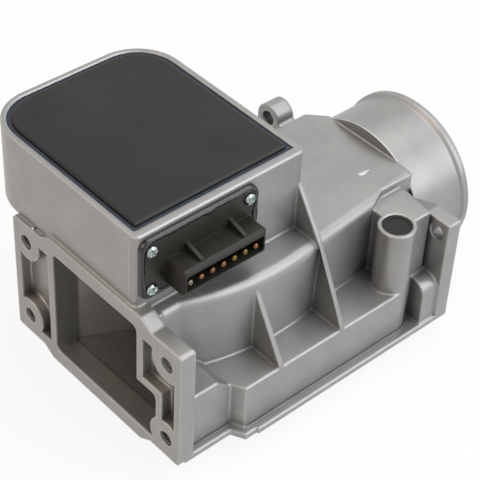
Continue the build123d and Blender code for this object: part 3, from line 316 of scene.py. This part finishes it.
def moulded(name, base, light, roughness, grain_mm, bump_mm, edge_mm=0.3,
            coat=0.0, specular=0.5, mottle_mm=9, gate=None):
    """Moulded plastic with mould grain, faint mottling, rounded edges and a dark dot at its gate, painted
    shade for the gate's dimple.
    """
    material, tree, output, place = new_material(name)
    grit = put(tree, "ShaderNodeTexNoise", {
        "Vector": place, "Scale": 1 / (grain_mm * MM), "Detail": 2.0,
    }).outputs[0]
    cloud = put(tree, "ShaderNodeTexNoise", {
        "Vector": place, "Scale": 1 / (mottle_mm * MM), "Detail": 5.0,
    }).outputs[0]
    colour = ramp(tree, cloud, MOTTLE_SPAN, linear(base), linear(light))
    # Painted shade: a dark dot stands for the shade in the dimple at the gate.
    if gate:
        reach = put(tree, "ShaderNodeVectorMath", {0: place, 1: gate}, operation="DISTANCE").outputs["Value"]
        radius = GATE_RADIUS_MM * MM
        colour = ramp(tree, reach, (radius * GATE_SOFT_SHARE, radius), linear(GATE_DIMPLE_SHADE), colour)
    gloss = put(tree, "ShaderNodeMapRange", {
        0: cloud, 3: roughness + MOULD_GLOSS_SPREAD[0], 4: roughness + MOULD_GLOSS_SPREAD[1],
    }).outputs[0]
    rounded = put(tree, "ShaderNodeBevel", {"Radius": edge_mm * MM}, samples=4).outputs[0]
    bump = put(tree, "ShaderNodeBump", {
        "Height": grit, "Normal": rounded, "Strength": MOULD_BUMP, "Distance": bump_mm * MM,
    }).outputs[0]
    shader = put(tree, "ShaderNodeBsdfPrincipled", {
        "Base Color": colour, "Roughness": gloss, "IOR": PLASTIC_IOR, "Normal": bump, "Coat Weight": coat,
        "Specular IOR Level": specular,
    })
    tree.links.new(shader.outputs[0], output.inputs[0])
    return material


lid_plastic = moulded(
    "lid_abs", "#171614", "#23221F", 0.30, 0.25, 0.015, 0.5, specular=0.26, mottle_mm=22, gate=lid_gate)
connector_plastic = moulded(
    "connector_polyamide", "#252420", "#302F2A", 0.34, 0.3, 0.03, 0.45, specular=0.20)
wheel_plastic = moulded("wheel_polyamide", "#2E2E30", "#38383A", 0.5, 0.4, 0.03)
hub_plastic = moulded("hub_acetal", "#D6D2C4", "#E0DCD0", 0.42, 0.4, 0.02)
board_ceramic = moulded("board_ceramic", "#D8D5CA", "#E2DFD6", 0.55, 0.2, 0.01)
track_ink = moulded("track_carbon_ink", "#16161A", "#1E1E22", 0.5, 0.15, 0.01)
plug_plastic = moulded("plug_acetal", "#1C1B19", "#242320", 0.42, 0.5, 0.05, specular=0.2)
print("made", lid_plastic.name, connector_plastic.name, "and five more")

# %% [markdown]
# Rubber and sealing compound scatter light in a wide soft highlight. The compound around the lid is
# silicone, laid as a bead, and its skin is glossier than moulded rubber. The black sealant of the
# connector cured with a wet-looking skin, so it is smooth, uneven and thinly coated.

# %% Rubber and sealing compound
seal_compound = moulded("silicone_compound", "#262D36", "#363F4A", 0.50, 1.6, 0.08, 0.4, specular=0.25)
buffer_rubber = moulded("moulded_rubber", "#1A1A1A", "#222222", 0.62, 0.3, 0.03)
gasket_sealant = moulded(
    "black_sealant", "#070707", "#0D0D0D", 0.14, 0.9, 0.22, 0.2, coat=0.35, specular=0.4)
print("made", seal_compound.name, buffer_rubber.name, gasket_sealant.name)

# %% [markdown]
# Machined and drawn metals show the direction they were cut or drawn in. A noise five times as coarse as
# the lines, squeezed eight or ten times across them, draws those lines. Zinc plating on screws is bluish
# and bright, brass is warm, sintered bronze is dull, and cast aluminium that was rubbed bare is paler than
# its skin. Plated, sintered and rubbed metals have no direction, so their noise isn't squeezed.

# %% Worked metals
TURNED = (1.0, 1.0, 10.0)
DRAWN = (1.0, 1.0, 8.0)
ROLLED = (8.0, 1.0, 1.0)
EVEN = (1.0, 1.0, 1.0)
LINE_SCALE = 0.2
LINE_BUMP = 0.3
LINE_HEIGHT_MM = 0.02
LINE_GLOSS_SPREAD = (-0.08, 0.10)
STAIN_MM = 2.5
# Painted shade in hollows:
HOLLOW_OPENNESS = (0.35, 0.85)
HOLLOW_SHADE_COLOUR = "#101312"


def worked_metal(name, dark, light, roughness, squeeze=DRAWN, line_mm=0.12, edge_mm=0.15, hollow_mm=0):
    """Cut or drawn metal with fine lines along its working direction, and painted shade in its hollows where
    it has any.
    """
    material, tree, output, place = new_material(name)
    lines = put(tree, "ShaderNodeMapping", {"Vector": place, "Scale": squeeze}).outputs[0]
    cut = put(tree, "ShaderNodeTexNoise", {
        "Vector": lines, "Scale": LINE_SCALE / (line_mm * MM), "Detail": 4.0,
    }).outputs[0]
    stain = put(tree, "ShaderNodeTexNoise", {
        "Vector": place, "Scale": 1 / (STAIN_MM * MM), "Detail": 3.0,
    }).outputs[0]
    colour = ramp(tree, stain, CLOUD_SPAN, linear(dark), linear(light))
    if hollow_mm:
        # Painted shade: ambient occlusion darkens the colour in hollows, such as the screws' cross recesses.
        hollow = put(tree, "ShaderNodeAmbientOcclusion", {
            "Distance": hollow_mm * MM,
        }, samples=8, only_local=True).outputs["AO"]
        colour = ramp(tree, hollow, HOLLOW_OPENNESS, linear(HOLLOW_SHADE_COLOUR), colour)
    gloss = put(tree, "ShaderNodeMapRange", {
        0: cut, 3: roughness + LINE_GLOSS_SPREAD[0], 4: roughness + LINE_GLOSS_SPREAD[1],
    }).outputs[0]
    rounded = put(tree, "ShaderNodeBevel", {"Radius": edge_mm * MM}, samples=4).outputs[0]
    bump = put(tree, "ShaderNodeBump", {
        "Height": cut, "Normal": rounded, "Strength": LINE_BUMP, "Distance": LINE_HEIGHT_MM * MM,
    }).outputs[0]
    shader = put(tree, "ShaderNodeBsdfPrincipled", {
        "Base Color": colour, "Metallic": 1.0, "Roughness": gloss, "Normal": bump,
    })
    tree.links.new(shader.outputs[0], output.inputs[0])
    return material


ground_steel = worked_metal("ground_steel", "#A9AAAC", "#BFC0C2", 0.28)
zinc_steel = worked_metal("zinc_plated_steel", "#7C8684", "#A0AAA8", 0.22, EVEN)
recessed_zinc = worked_metal("zinc_plated_screw", "#8A9694", "#B6C2C0", 0.18, EVEN, hollow_mm=0.7)
spring_steel = worked_metal("blued_spring_steel", "#6E7480", "#868C98", 0.30)
brass = worked_metal("turned_brass", "#B99A5A", "#CDB070", 0.30, TURNED)
bronze = worked_metal("sintered_bronze", "#8C6B42", "#A07E54", 0.50, EVEN)
strip_metal = worked_metal("tarnished_contact_metal", "#8E6046", "#A47858", 0.36, ROLLED)
sheet_aluminium = worked_metal("rolled_aluminium", "#9C9B98", "#ABAAA7", 0.42, ROLLED, 0.2)
# Rubbed bare metal for the nub and the scar; also the pale metal of the painted highlight rods on the
# collar.
bright_aluminium = worked_metal("rubbed_and_highlight_aluminium", "#B4B6B5", "#C2C4C3", 0.45, EVEN, 0.2)
print("made", ground_steel.name, zinc_steel.name, "and seven more")

# %% [markdown]
# The seven pins are stamped from one metal but carry different tarnish: one still shows its bright
# plating, two have gone to a dull brass and the rest to copper. One material can do that without seven
# copies: it reads how far along the row a point lies and picks the colour of that pin from a stepped ramp.

# %% Contact pins
PLATED = "#8C8778"
COPPERY = "#93644C"
BRASSY = "#86713C"
PIN_TINTS = (PLATED, COPPERY, COPPERY, COPPERY, BRASSY, BRASSY, COPPERY)
PIN_PITCH = 5.0 * MM
PIN_EDGE = 0.3 * MM
PIN_ROUGHNESS = 0.34
TARNISH_MM = 0.9
TARNISH_DARK = 0.55
TARNISH_BUMP = 0.3
TARNISH_HEIGHT_MM = 0.04
pins_low, pins_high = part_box("connector_pins")
row_middle = (pins_low.y + pins_high.y) / 2
row_half = PIN_PITCH * len(PIN_TINTS) / 2
pin_metal, tree, output, place = new_material("plated_contact_pins")
along = put(tree, "ShaderNodeSeparateXYZ", {0: place}).outputs[1]
place_in_row = put(tree, "ShaderNodeMapRange", {
    0: along, 1: row_middle - row_half, 2: row_middle + row_half,
}).outputs[0]
stepped = put(tree, "ShaderNodeValToRGB", {0: place_in_row})
stepped.color_ramp.interpolation = "CONSTANT"
steps = stepped.color_ramp.elements
for _ in range(len(PIN_TINTS) - len(steps)):
    steps.new(0.5)
for index, tint in enumerate(PIN_TINTS):
    steps[index].position = index / len(PIN_TINTS)
    steps[index].color = linear(tint)
tarnish = put(tree, "ShaderNodeTexNoise", {
    "Vector": place, "Scale": 1 / (TARNISH_MM * MM), "Detail": 4.0,
}).outputs[0]
darker = put(tree, "ShaderNodeMapRange", {
    0: tarnish, 1: CLOUD_SPAN[0], 2: CLOUD_SPAN[1], 3: TARNISH_DARK, 4: 1.0,
}).outputs[0]
tarnished = put(tree, "ShaderNodeVectorMath", {
    0: stepped.outputs[0], "Scale": darker,
}, operation="SCALE").outputs[0]
rounded = put(tree, "ShaderNodeBevel", {"Radius": PIN_EDGE}, samples=4).outputs[0]
worn = put(tree, "ShaderNodeBump", {
    "Height": tarnish, "Normal": rounded, "Strength": TARNISH_BUMP, "Distance": TARNISH_HEIGHT_MM * MM,
}).outputs[0]
shader = put(tree, "ShaderNodeBsdfPrincipled", {
    "Base Color": tarnished, "Metallic": 1.0, "Roughness": PIN_ROUGHNESS, "Normal": worn,
})
tree.links.new(shader.outputs[0], output.inputs[0])
print("pins", [round(x / MM, 1) for x in (pins_low.y, pins_high.y)], "middle", round(row_middle / MM, 2))

# %% [markdown]
# Each solid whose shape is right keeps it and only gets its finish, by the name of its node.

# %% Finish the solids
finishes = {
    body_skin: ["body_casting"],
    vane_skin: ["vane"],
    sheet_aluminium: ["bottom_cover"],
    lid_plastic: ["lid"],
    connector_plastic: ["connector_housing", "sensor_holder"],
    wheel_plastic: ["spring_wheel"],
    hub_plastic: ["rotor_hub", "wiper_arm"],
    board_ceramic: ["resistor_board"],
    track_ink: ["resistor_tracks"],
    plug_plastic: ["tamper_plug"],
    seal_compound: ["lid_seal", "cover_seal"],
    buffer_rubber: ["stop_buffers", "mixture_seal"],
    gasket_sealant: ["connector_gasket"],
    ground_steel: ["vane_shaft", "vane_pin", "sensor_probe"],
    zinc_steel: ["rotor_nut", "counterweight_arm", "catch_screw", "board_screws", "connector_screws"],
    spring_steel: ["shaft_clip", "spiral_spring", "wheel_catch", "wiper_contacts"],
    brass: ["counterweight", "mixture_screw"],
    bronze: ["lower_bearing", "upper_bearing"],
    pin_metal: ["connector_pins"],
    strip_metal: ["contact_strips"],
}
for finish, names in finishes.items():
    for name in names:
        nodes[name].data.materials.clear()
        nodes[name].data.materials.append(finish)
unfinished = sorted(set(nodes) - {name for names in finishes.values() for name in names})
print("solids without a finish:", unfinished)

# %% [markdown]
# The small pieces below are built as meshes, from points on a few curves. One helper turns rows of points
# into a closed skin. Another makes it a piece, with what it is made of and what it rides on.

# %% Mesh helpers
def skin(build, rows, closed=False, smooth=True):
    """Faces between rows of points; each row is a loop, and the rows close into a ring or are capped."""
    loops = [[build.verts.new(point) for point in row] for row in rows]
    pairs = list(zip(loops, loops[1:] + loops[:1])) if closed else list(zip(loops, loops[1:]))
    for near, far in pairs:
        for index in range(len(near)):
            following = (index + 1) % len(near)
            face = build.faces.new((near[index], near[following], far[following], far[index]))
            face.smooth = smooth
    if not closed:
        for end in (loops[0], loops[-1]):
            build.faces.new(end)


def new_piece(name, build, finish):
    """Object made of a finished bmesh, fixed to the base."""
    bmesh.ops.recalc_face_normals(build, faces=build.faces)
    mesh = bpy.data.meshes.new(name)
    build.to_mesh(mesh)
    build.free()
    mesh.materials.append(finish)
    piece = bpy.data.objects.new(name, mesh)
    bpy.context.scene.collection.objects.link(piece)
    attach(piece, "base")
    print("made", name, "faces", len(mesh.polygons))
    return piece


# %% [markdown]
# Where they can, the new pieces take their places and sizes from the frame. A node may hold several
# separate solids, such as the three screws. They are found by walking from a point along its edges until
# nothing new is reached.

# %% Separate solids of a node
WELD = 0.001 * MM


def islands(name):
    """Lowest and highest corner of each separate solid of a node."""
    build = bmesh.new()
    build.from_mesh(nodes[name].data)
    bmesh.ops.remove_doubles(build, verts=build.verts, dist=WELD)
    waiting = set(build.verts)
    found = []
    while waiting:
        reached = [waiting.pop()]
        for vertex in reached:
            for edge in vertex.link_edges:
                other = edge.other_vert(vertex)
                if other in waiting:
                    waiting.discard(other)
                    reached.append(other)
        low = Vector([min(v.co[axis] for v in reached) for axis in range(3)])
        high = Vector([max(v.co[axis] for v in reached) for axis in range(3)])
        found.append((low, high))
    build.free()
    return sorted(found, key=lambda pair: tuple(round(x, 5) for x in pair[0]))


screws = islands("connector_screws")
print("screws", len(screws))

# %% [markdown]
# The connector's plate is held by pan-head screws with a cross recess. A boolean cut would do, but the
# head is so small that it is simpler to draw its top as rings of points and to press those inside the
# cross down. The recess gets shallower towards the ends of its arms, as the punch that makes it is
# pointed. Screws end up at any angle when they are driven home, so each one is turned by its own.

# %% Screws of the connector
HEAD_STEPS = 96
HEAD_RINGS = 18
HEAD_RIM_SHARE = 0.25
SEAT_X = 23.5 * MM
SHANK_RADIUS = 1.4 * MM
CROSS_HALF_WIDTH = 0.42 * MM
CROSS_REACH = 1.7 * MM
CROSS_DEPTH = 1.0 * MM
CROSS_END_DEPTH = 0.2 * MM
CROSS_WALL = 0.10 * MM
SCREW_TURNS = (12, 24, 52)


def cross_depth(radius, angle):
    """Depth of the cross recess under the head's dome."""
    if radius > CROSS_REACH:
        return 0.0
    aside = min(abs(radius * math.cos(angle)), abs(radius * math.sin(angle)))
    wall = min(max((CROSS_HALF_WIDTH - aside) / CROSS_WALL, 0.0), 1.0)
    return wall * (CROSS_END_DEPTH + (CROSS_DEPTH - CROSS_END_DEPTH) * (1 - radius / CROSS_REACH))


build = bmesh.new()
around_head = [math.tau * step / HEAD_STEPS for step in range(HEAD_STEPS)]
for (low, high), turn in zip(screws, SCREW_TURNS):
    head_radius = (high.y - low.y) / 2
    head_height = high.x - SEAT_X
    centre_y, centre_z = (low.y + high.y) / 2, (low.z + high.z) / 2
    rows = []
    for ring in range(1, HEAD_RINGS + 1):
        radius = head_radius * ring / HEAD_RINGS
        crown = math.sqrt(1 - (ring / HEAD_RINGS) ** 3)
        dome = SEAT_X + head_height * (HEAD_RIM_SHARE + (1 - HEAD_RIM_SHARE) * crown)
        row = []
        for angle in around_head:
            x = dome - cross_depth(radius, angle - math.radians(turn))
            row.append((x, centre_y + radius * math.cos(angle), centre_z + radius * math.sin(angle)))
        rows.append(row)
    for x, radius in ((SEAT_X, head_radius), (SEAT_X, SHANK_RADIUS), (low.x, SHANK_RADIUS)):
        rows.append([
            (x, centre_y + radius * math.cos(angle), centre_z + radius * math.sin(angle))
            for angle in around_head
        ])
    skin(build, rows)
screw_heads = new_piece("cross_recess_screws", build, recessed_zinc)
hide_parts("connector_screws")

# %% [markdown]
# Sealant and compound follow the outline of the part they seal. That outline is the convex hull of the
# part's points, seen from one side, and it is divided into even steps, each with its direction outwards.

# %% Outline of a part
def around(name, first, second, step):
    """Evenly spaced points and outward directions along a node's outline, seen along the third axis."""
    flat = [Vector((v.co[first], v.co[second])) for v in nodes[name].data.vertices]
    hull = [flat[index] for index in geometry.convex_hull_2d(flat)]
    lengths = [(hull[(i + 1) % len(hull)] - p).length for i, p in enumerate(hull)]
    count = round(sum(lengths) / step)
    points, edge, gone = [], 0, 0.0
    for index in range(count):
        target = sum(lengths) * index / count
        while gone + lengths[edge] < target:
            gone += lengths[edge]
            edge += 1
        share = (target - gone) / lengths[edge]
        points.append(hull[edge].lerp(hull[(edge + 1) % len(hull)], share))
    middle = sum(points, Vector((0, 0))) / count
    outward = []
    for index in range(count):
        run = points[(index + 2) % count] - points[index - 2]
        normal = Vector((run.y, -run.x)).normalized()
        outward.append(normal if normal.dot(points[index] - middle) > 0 else -normal)
    return points, outward


X_AXIS, Y_AXIS, Z_AXIS = 0, 1, 2
SEALANT_STEP = 0.5 * MM
plate_points, plate_outward = around("connector_gasket", Y_AXIS, Z_AXIS, SEALANT_STEP)
print("steps round the plate", len(plate_points))

# %% [markdown]
# The plate is bedded in black sealant, and what was squeezed out lies round its edge as an uneven glossy
# band. A curve with a bevel would keep one width, so the band is a ring of cross-sections whose inner edge
# wanders with two waves of noise, one slow and one quick.

# %% Sealant round the connector plate
SEALANT_OUT = 0.40 * MM
SLOW_WAVE = 5 * MM
QUICK_WAVE = 2.1 * MM
BAND_MM = 1.6
BAND_SLOW_MM = 1.4
BAND_QUICK_MM = 0.5
BAND_LIMITS_MM = (0.5, 2.8)
LIFT_MM = 0.42
LIFT_SLOW_MM = 0.14
LIFT_QUICK_MM = 0.22
gasket_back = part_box("connector_gasket")[0].x
rows = []
for point, normal in zip(plate_points, plate_outward):
    slow = noise.noise(Vector((point.x, point.y, 0.0)) / SLOW_WAVE)
    quick = noise.noise(Vector((point.x, point.y, 0.5)) / QUICK_WAVE)
    band = BAND_MM + BAND_SLOW_MM * slow + BAND_QUICK_MM * quick
    width = min(max(band, BAND_LIMITS_MM[0]), BAND_LIMITS_MM[1]) * MM
    lift = (LIFT_MM + LIFT_QUICK_MM * quick + LIFT_SLOW_MM * slow) * MM
    # Each pair is how far outside the plate's edge and how far along X: up the edge, over the crest and in.
    section = (
        (SEALANT_OUT * (1 + 0.2 * slow), gasket_back + 0.02 * MM),
        (SEALANT_OUT * 0.95, gasket_back + 0.5 * MM),
        (0.30 * MM, SEAT_X - 0.2 * MM),
        (0.0, SEAT_X + lift),
        (-0.5 * width, SEAT_X + 0.9 * lift),
        (-0.9 * width, SEAT_X + 0.45 * lift),
        (-width, SEAT_X + 0.01 * MM),
        (-0.5 * width, SEAT_X - 0.25 * MM),
        (-0.1 * MM, gasket_back + 0.1 * MM),
    )
    rows.append([(x, *(point + normal * out)) for out, x in section])
build = bmesh.new()
skin(build, rows, closed=True)
new_piece("plate_sealant", build, gasket_sealant)

# %% [markdown]
# The lid lies in a groove filled with dark grey compound. Laid from a nozzle, it stands up as a soft round
# bead between the lid's edge and the rim, and its crest catches one long thin line of light.

# %% Bead of compound round the lid
BEAD_STEP = 1.0 * MM
BEAD_OUT = 1.05 * MM
BEAD_HALF = 0.95 * MM
BEAD_RISE = 0.42 * MM
BEAD_SUNK = 0.05 * MM
BEAD_ROOT = 0.3 * MM
BEAD_WAVE = 9 * MM
BEAD_SWAY = 0.06 * MM
BEAD_SWELL = 0.25
BEAD_STEPS = 8
seal_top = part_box("lid_seal")[1].z
lid_points, lid_outward = around("lid", X_AXIS, Y_AXIS, BEAD_STEP)
rows = []
for point, normal in zip(lid_points, lid_outward):
    sway = noise.noise(Vector((point.x, point.y, 0.0)) / BEAD_WAVE)
    centre = point + normal * (BEAD_OUT + BEAD_SWAY * sway)
    row = []
    for step in range(BEAD_STEPS + 1):
        angle = math.pi * step / BEAD_STEPS
        spot = centre + normal * BEAD_HALF * math.cos(angle)
        rise = BEAD_RISE * (1 + BEAD_SWELL * sway) * math.sin(angle)
        row.append((spot.x, spot.y, seal_top - BEAD_SUNK + rise))
    row.append((centre.x, centre.y, seal_top - BEAD_ROOT))
    rows.append(row)
build = bmesh.new()
skin(build, rows, closed=True)
new_piece("lid_bead", build, seal_compound)

# %% [markdown]
# The four holes of the flange are tapped. A thread is a ridge with a triangular section that climbs round
# the wall, so it is drawn as just that: one triangle carried along a helix, running out at both ends. The
# places and the width of the holes are read from the mount that the record states for the flange.

# %% Threads in the flange
THREAD_PITCH = 1.0 * MM
THREAD_DEPTH = 0.38 * MM
THREAD_ROOT = 0.05 * MM
THREAD_FLANK = 0.42
THREAD_START = 0.7 * MM
THREAD_TURNS = 5
TURN_STEPS = 24
FADE_STEPS = 8


def mount_named(name):
    """What the record says about one mount."""
    return next(mount for mount in frame["record"]["mounts"] if mount["name"] == name)


bolts = mount_named("inlet_bolts")["dims"]
hole_radius = bolts["hole_r_mm"] * MM
bolt_places = [
    (side * bolts["spacing_x_mm"] * MM / 2, level * bolts["spacing_y_mm"] * MM / 2)
    for side in (-1, 1) for level in (-1, 1)
]
build = bmesh.new()
for x, z in bolt_places:
    rows = []
    for step in range(THREAD_TURNS * TURN_STEPS + 1):
        angle = math.tau * step / TURN_STEPS
        fade = min(1.0, step / FADE_STEPS, (THREAD_TURNS * TURN_STEPS - step) / FADE_STEPS)
        y = THREAD_START + THREAD_PITCH * angle / math.tau
        ridge = (
            (hole_radius + THREAD_ROOT, -THREAD_FLANK),
            (hole_radius - THREAD_DEPTH * fade, 0.0),
            (hole_radius + THREAD_ROOT, THREAD_FLANK),
        )
        rows.append([
            (x + radius * math.cos(angle), y + shift * THREAD_PITCH, z + radius * math.sin(angle))
            for radius, shift in ridge
        ])
    skin(build, rows, smooth=False)
new_piece("flange_threads", build, body_skin)

# %% [markdown]
# Casting leaves small marks. One is a nub on the shoulder of the flange, where an ejector pin sat. It lies
# on the casting wherever its skin is, so a ray dropped from above finds the height to build it on. Noise
# makes its rings a little uneven, as no such mark is quite round.

# %% Nub on the flange
RAY_MARGIN = MM
NUB_PLACE = (-36.9 * MM, 1.05 * MM)
NUB_PROFILE_MM = ((0.80, -0.3), (0.78, 0.25), (0.6, 0.6), (0.3, 0.8))
NUB_STEPS = 16
NUB_WOBBLE = 0.25
body = nodes["body_casting"]


def skin_height(x, y):
    """Height of the casting's upper skin over a point."""
    start = Vector((x, y, cad_high.z + RAY_MARGIN))
    spot = body.ray_cast(start, Vector((0, 0, -1)))[1]
    return spot.z


nub_floor = skin_height(*NUB_PLACE)
rows = []
for radius, rise in NUB_PROFILE_MM:
    row = []
    for step in range(NUB_STEPS):
        angle = math.tau * step / NUB_STEPS
        wobble = NUB_WOBBLE * noise.noise(Vector((math.cos(angle), math.sin(angle), rise)))
        reach = radius * (1 + wobble) * MM
        x = NUB_PLACE[0] + reach * math.cos(angle)
        y = NUB_PLACE[1] + reach * math.sin(angle)
        row.append((x, y, nub_floor + rise * MM))
    rows.append(row)
build = bmesh.new()
skin(build, rows)
new_piece("casting_nub", build, bright_aluminium)

# %% [markdown]
# A leaf-shaped scar on the roof shines where the metal was rubbed bare. It is a thin lens of mesh whose
# every point follows the roof, widest a little before its middle and pointed at both ends.

# %% Scar on the roof
SCAR_FROM = Vector((15.4 * MM, 115.9 * MM))
SCAR_TO = Vector((15.6 * MM, 122.3 * MM))
SCAR_HALF_WIDTH = 1.35 * MM
SCAR_RISE = 0.10 * MM
SCAR_STEPS = 14
SCAR_TIP = 0.02
SCAR_LEAN = 0.65
SCAR_SECTION = ((-1, -1), (-0.6, 0.8), (0, 1), (0.6, 0.8), (1, -1))
rows = []
for step in range(SCAR_STEPS + 1):
    share = SCAR_TIP + (1 - 2 * SCAR_TIP) * step / SCAR_STEPS
    middle = SCAR_FROM.lerp(SCAR_TO, share)
    half = SCAR_HALF_WIDTH * math.sin(math.pi * share ** SCAR_LEAN)
    row = []
    for across, rise in SCAR_SECTION:
        x, y = middle.x + across * half, middle.y
        row.append((x, y, skin_height(x, y) + rise * SCAR_RISE))
    rows.append(row)
build = bmesh.new()
skin(build, rows)
new_piece("roof_scar", build, bright_aluminium)

# %% [markdown]
# Two thin bright rods on the collar's face are a painted highlight for its edges: one straight along the
# roof and one bowed over it, along the wall of the spigot. Each is an uneven rod swept along its line.

# %% Bright rods round the collar
# Size and unevenness of the bright rods, a painted highlight.
HIGHLIGHT_ROD_RADIUS = 0.34 * MM
HIGHLIGHT_ROD_SWELL = 0.35
HIGHLIGHT_ROD_WAVE_STEP = 0.7
HIGHLIGHT_ROD_STEPS = 24
HIGHLIGHT_ROD_SIDES = 6
ROOF_PROBE = 3 * MM
COLLAR_RADIUS = 32.7 * MM
collar_x = mount_named("outlet_spigot")["pos_m"][0]
collar_face_y = mount_named("rear_lugs")["pos_m"][1]
roof_z = skin_height(collar_x, collar_face_y - ROOF_PROBE)
half_span = math.sqrt(COLLAR_RADIUS ** 2 - roof_z ** 2)
half_angle = math.asin(half_span / COLLAR_RADIUS)


def highlight_rod_line(bowed, share):
    """Middle of the rod and its lean from upright, from one end at -1 to the other at 1."""
    if not bowed:
        return collar_x + half_span * share, roof_z, 0.0
    lean = half_angle * share
    return collar_x + COLLAR_RADIUS * math.sin(lean), COLLAR_RADIUS * math.cos(lean), lean


build = bmesh.new()
for bowed, wave in ((False, 0.0), (True, 3.0)):
    rows = []
    for step in range(HIGHLIGHT_ROD_STEPS + 1):
        x, z, lean = highlight_rod_line(bowed, 2 * step / HIGHLIGHT_ROD_STEPS - 1)
        swell = HIGHLIGHT_ROD_SWELL * noise.noise(Vector((step * HIGHLIGHT_ROD_WAVE_STEP, wave, 0.0)))
        radius = HIGHLIGHT_ROD_RADIUS * (1 + swell)
        row = []
        for side in range(HIGHLIGHT_ROD_SIDES):
            angle = math.tau * side / HIGHLIGHT_ROD_SIDES
            outward = radius * math.cos(angle)
            y = collar_face_y + radius * math.sin(angle)
            row.append((x + outward * math.sin(lean), y, z + outward * math.cos(lean)))
        rows.append(row)
    skin(build, rows)
# Painted highlight: the rods are pale metal laid along the edges of the collar's face.
new_piece("collar_edge_highlights", build, bright_aluminium)

# %% [markdown]
# The stage is a pale floor under a white background. Both look white to the camera and in reflections,
# while the light that falls on the object stays plain, so its colours come out as they are written. The
# floor mixes a little lit surface under its white, which keeps a faint contact shadow.

# %% Floor
FLOOR_SIZE = 6.0
FLOOR_WHITE = 0.88
PAPER = "#F4F3F1"
WHITE = "#FFFFFF"


def seen_directly(tree):
    """1 for what the camera sees, also in reflections and through glass, and 0 for other light."""
    path = put(tree, "ShaderNodeLightPath").outputs
    seen = path["Is Camera Ray"]
    for ray in ("Is Glossy Ray", "Is Transmission Ray"):
        seen = put(tree, "ShaderNodeMath", {0: seen, 1: path[ray]}, operation="MAXIMUM").outputs[0]
    return seen


floor_mesh = bpy.data.meshes.new("floor")
floor_build = bmesh.new()
bmesh.ops.create_grid(floor_build, x_segments=1, y_segments=1, size=FLOOR_SIZE / 2)
floor_build.to_mesh(floor_mesh)
floor_build.free()
floor = bpy.data.objects.new("floor", floor_mesh)
floor.location = (0, 0, cad_low[2])
bpy.context.scene.collection.objects.link(floor)

floor_paper, tree, output, place = new_material("studio_paper")
seen = seen_directly(tree)
share = put(tree, "ShaderNodeMath", {0: seen, 1: FLOOR_WHITE}, operation="MULTIPLY").outputs[0]
paper = put(tree, "ShaderNodeBsdfDiffuse", {"Color": linear(PAPER)}).outputs[0]
white = put(tree, "ShaderNodeEmission", {"Color": linear(WHITE), "Strength": 1.0}).outputs[0]
mixed = put(tree, "ShaderNodeMixShader", {0: share, 1: paper, 2: white}).outputs[0]
tree.links.new(mixed, output.inputs[0])
floor_mesh.materials.append(floor_paper)
print("floor at", round(cad_low[2] / MM, 1), "mm")

# %% [markdown]
# The world is white to the camera in the same way, and lights the object evenly with about two fifths of
# that strength. This even light fills the shadows as the walls of a bright studio do.

# %% Background
SKY_LIGHT = 0.39
world = bpy.data.worlds.new("studio")
world.use_nodes = True
world.node_tree.nodes.clear()
tree = world.node_tree
output = put(tree, "ShaderNodeOutputWorld")
strength = put(tree, "ShaderNodeMapRange", {0: seen_directly(tree), 3: SKY_LIGHT, 4: 1.0}).outputs[0]
sky = put(tree, "ShaderNodeBackground", {"Color": linear(WHITE), "Strength": strength}).outputs[0]
tree.links.new(sky, output.inputs[0])
bpy.context.scene.world = world
print("even light", SKY_LIGHT)

# %% [markdown]
# Soft boxes stand for the studio lamps. One hangs overhead, slightly behind the object, and lights the lid
# and the roof. A warm one stands in front of the inlet flange and reaches into the duct. The largest and
# strongest is slightly cool and stands on the connector's side, where its width keeps the highlights on
# the rounded edges soft.

# %% Lamps
def soft_box(name, position, target, size, power, tint):
    """Square area lamp that looks at a point."""
    data = bpy.data.lights.new(name, "AREA")
    data.shape = "SQUARE"
    data.size = size
    data.energy = power
    data.color = linear(tint)[:3]
    lamp = bpy.data.objects.new(name, data)
    aim = Vector(target) - Vector(position)
    lamp.matrix_world = Matrix.Translation(position) @ aim.to_track_quat("-Z", "Y").to_matrix().to_4x4()
    bpy.context.scene.collection.objects.link(lamp)
    print("lamp", name, "at", round(aim.length, 2), "m,", power, "W")


CENTRE = (0.0, 0.07, 0.01)
soft_box("overhead", (-0.05, 0.35, 0.80), CENTRE, 0.6, 2.6, WHITE)
soft_box("flange_side", (-0.16, -0.70, 0.62), CENTRE, 0.7, 3.1, "#FFD8B0")
soft_box("connector_side", (0.77, 0.44, 0.58), CENTRE, 0.95, 7.2, "#F6F9FF")
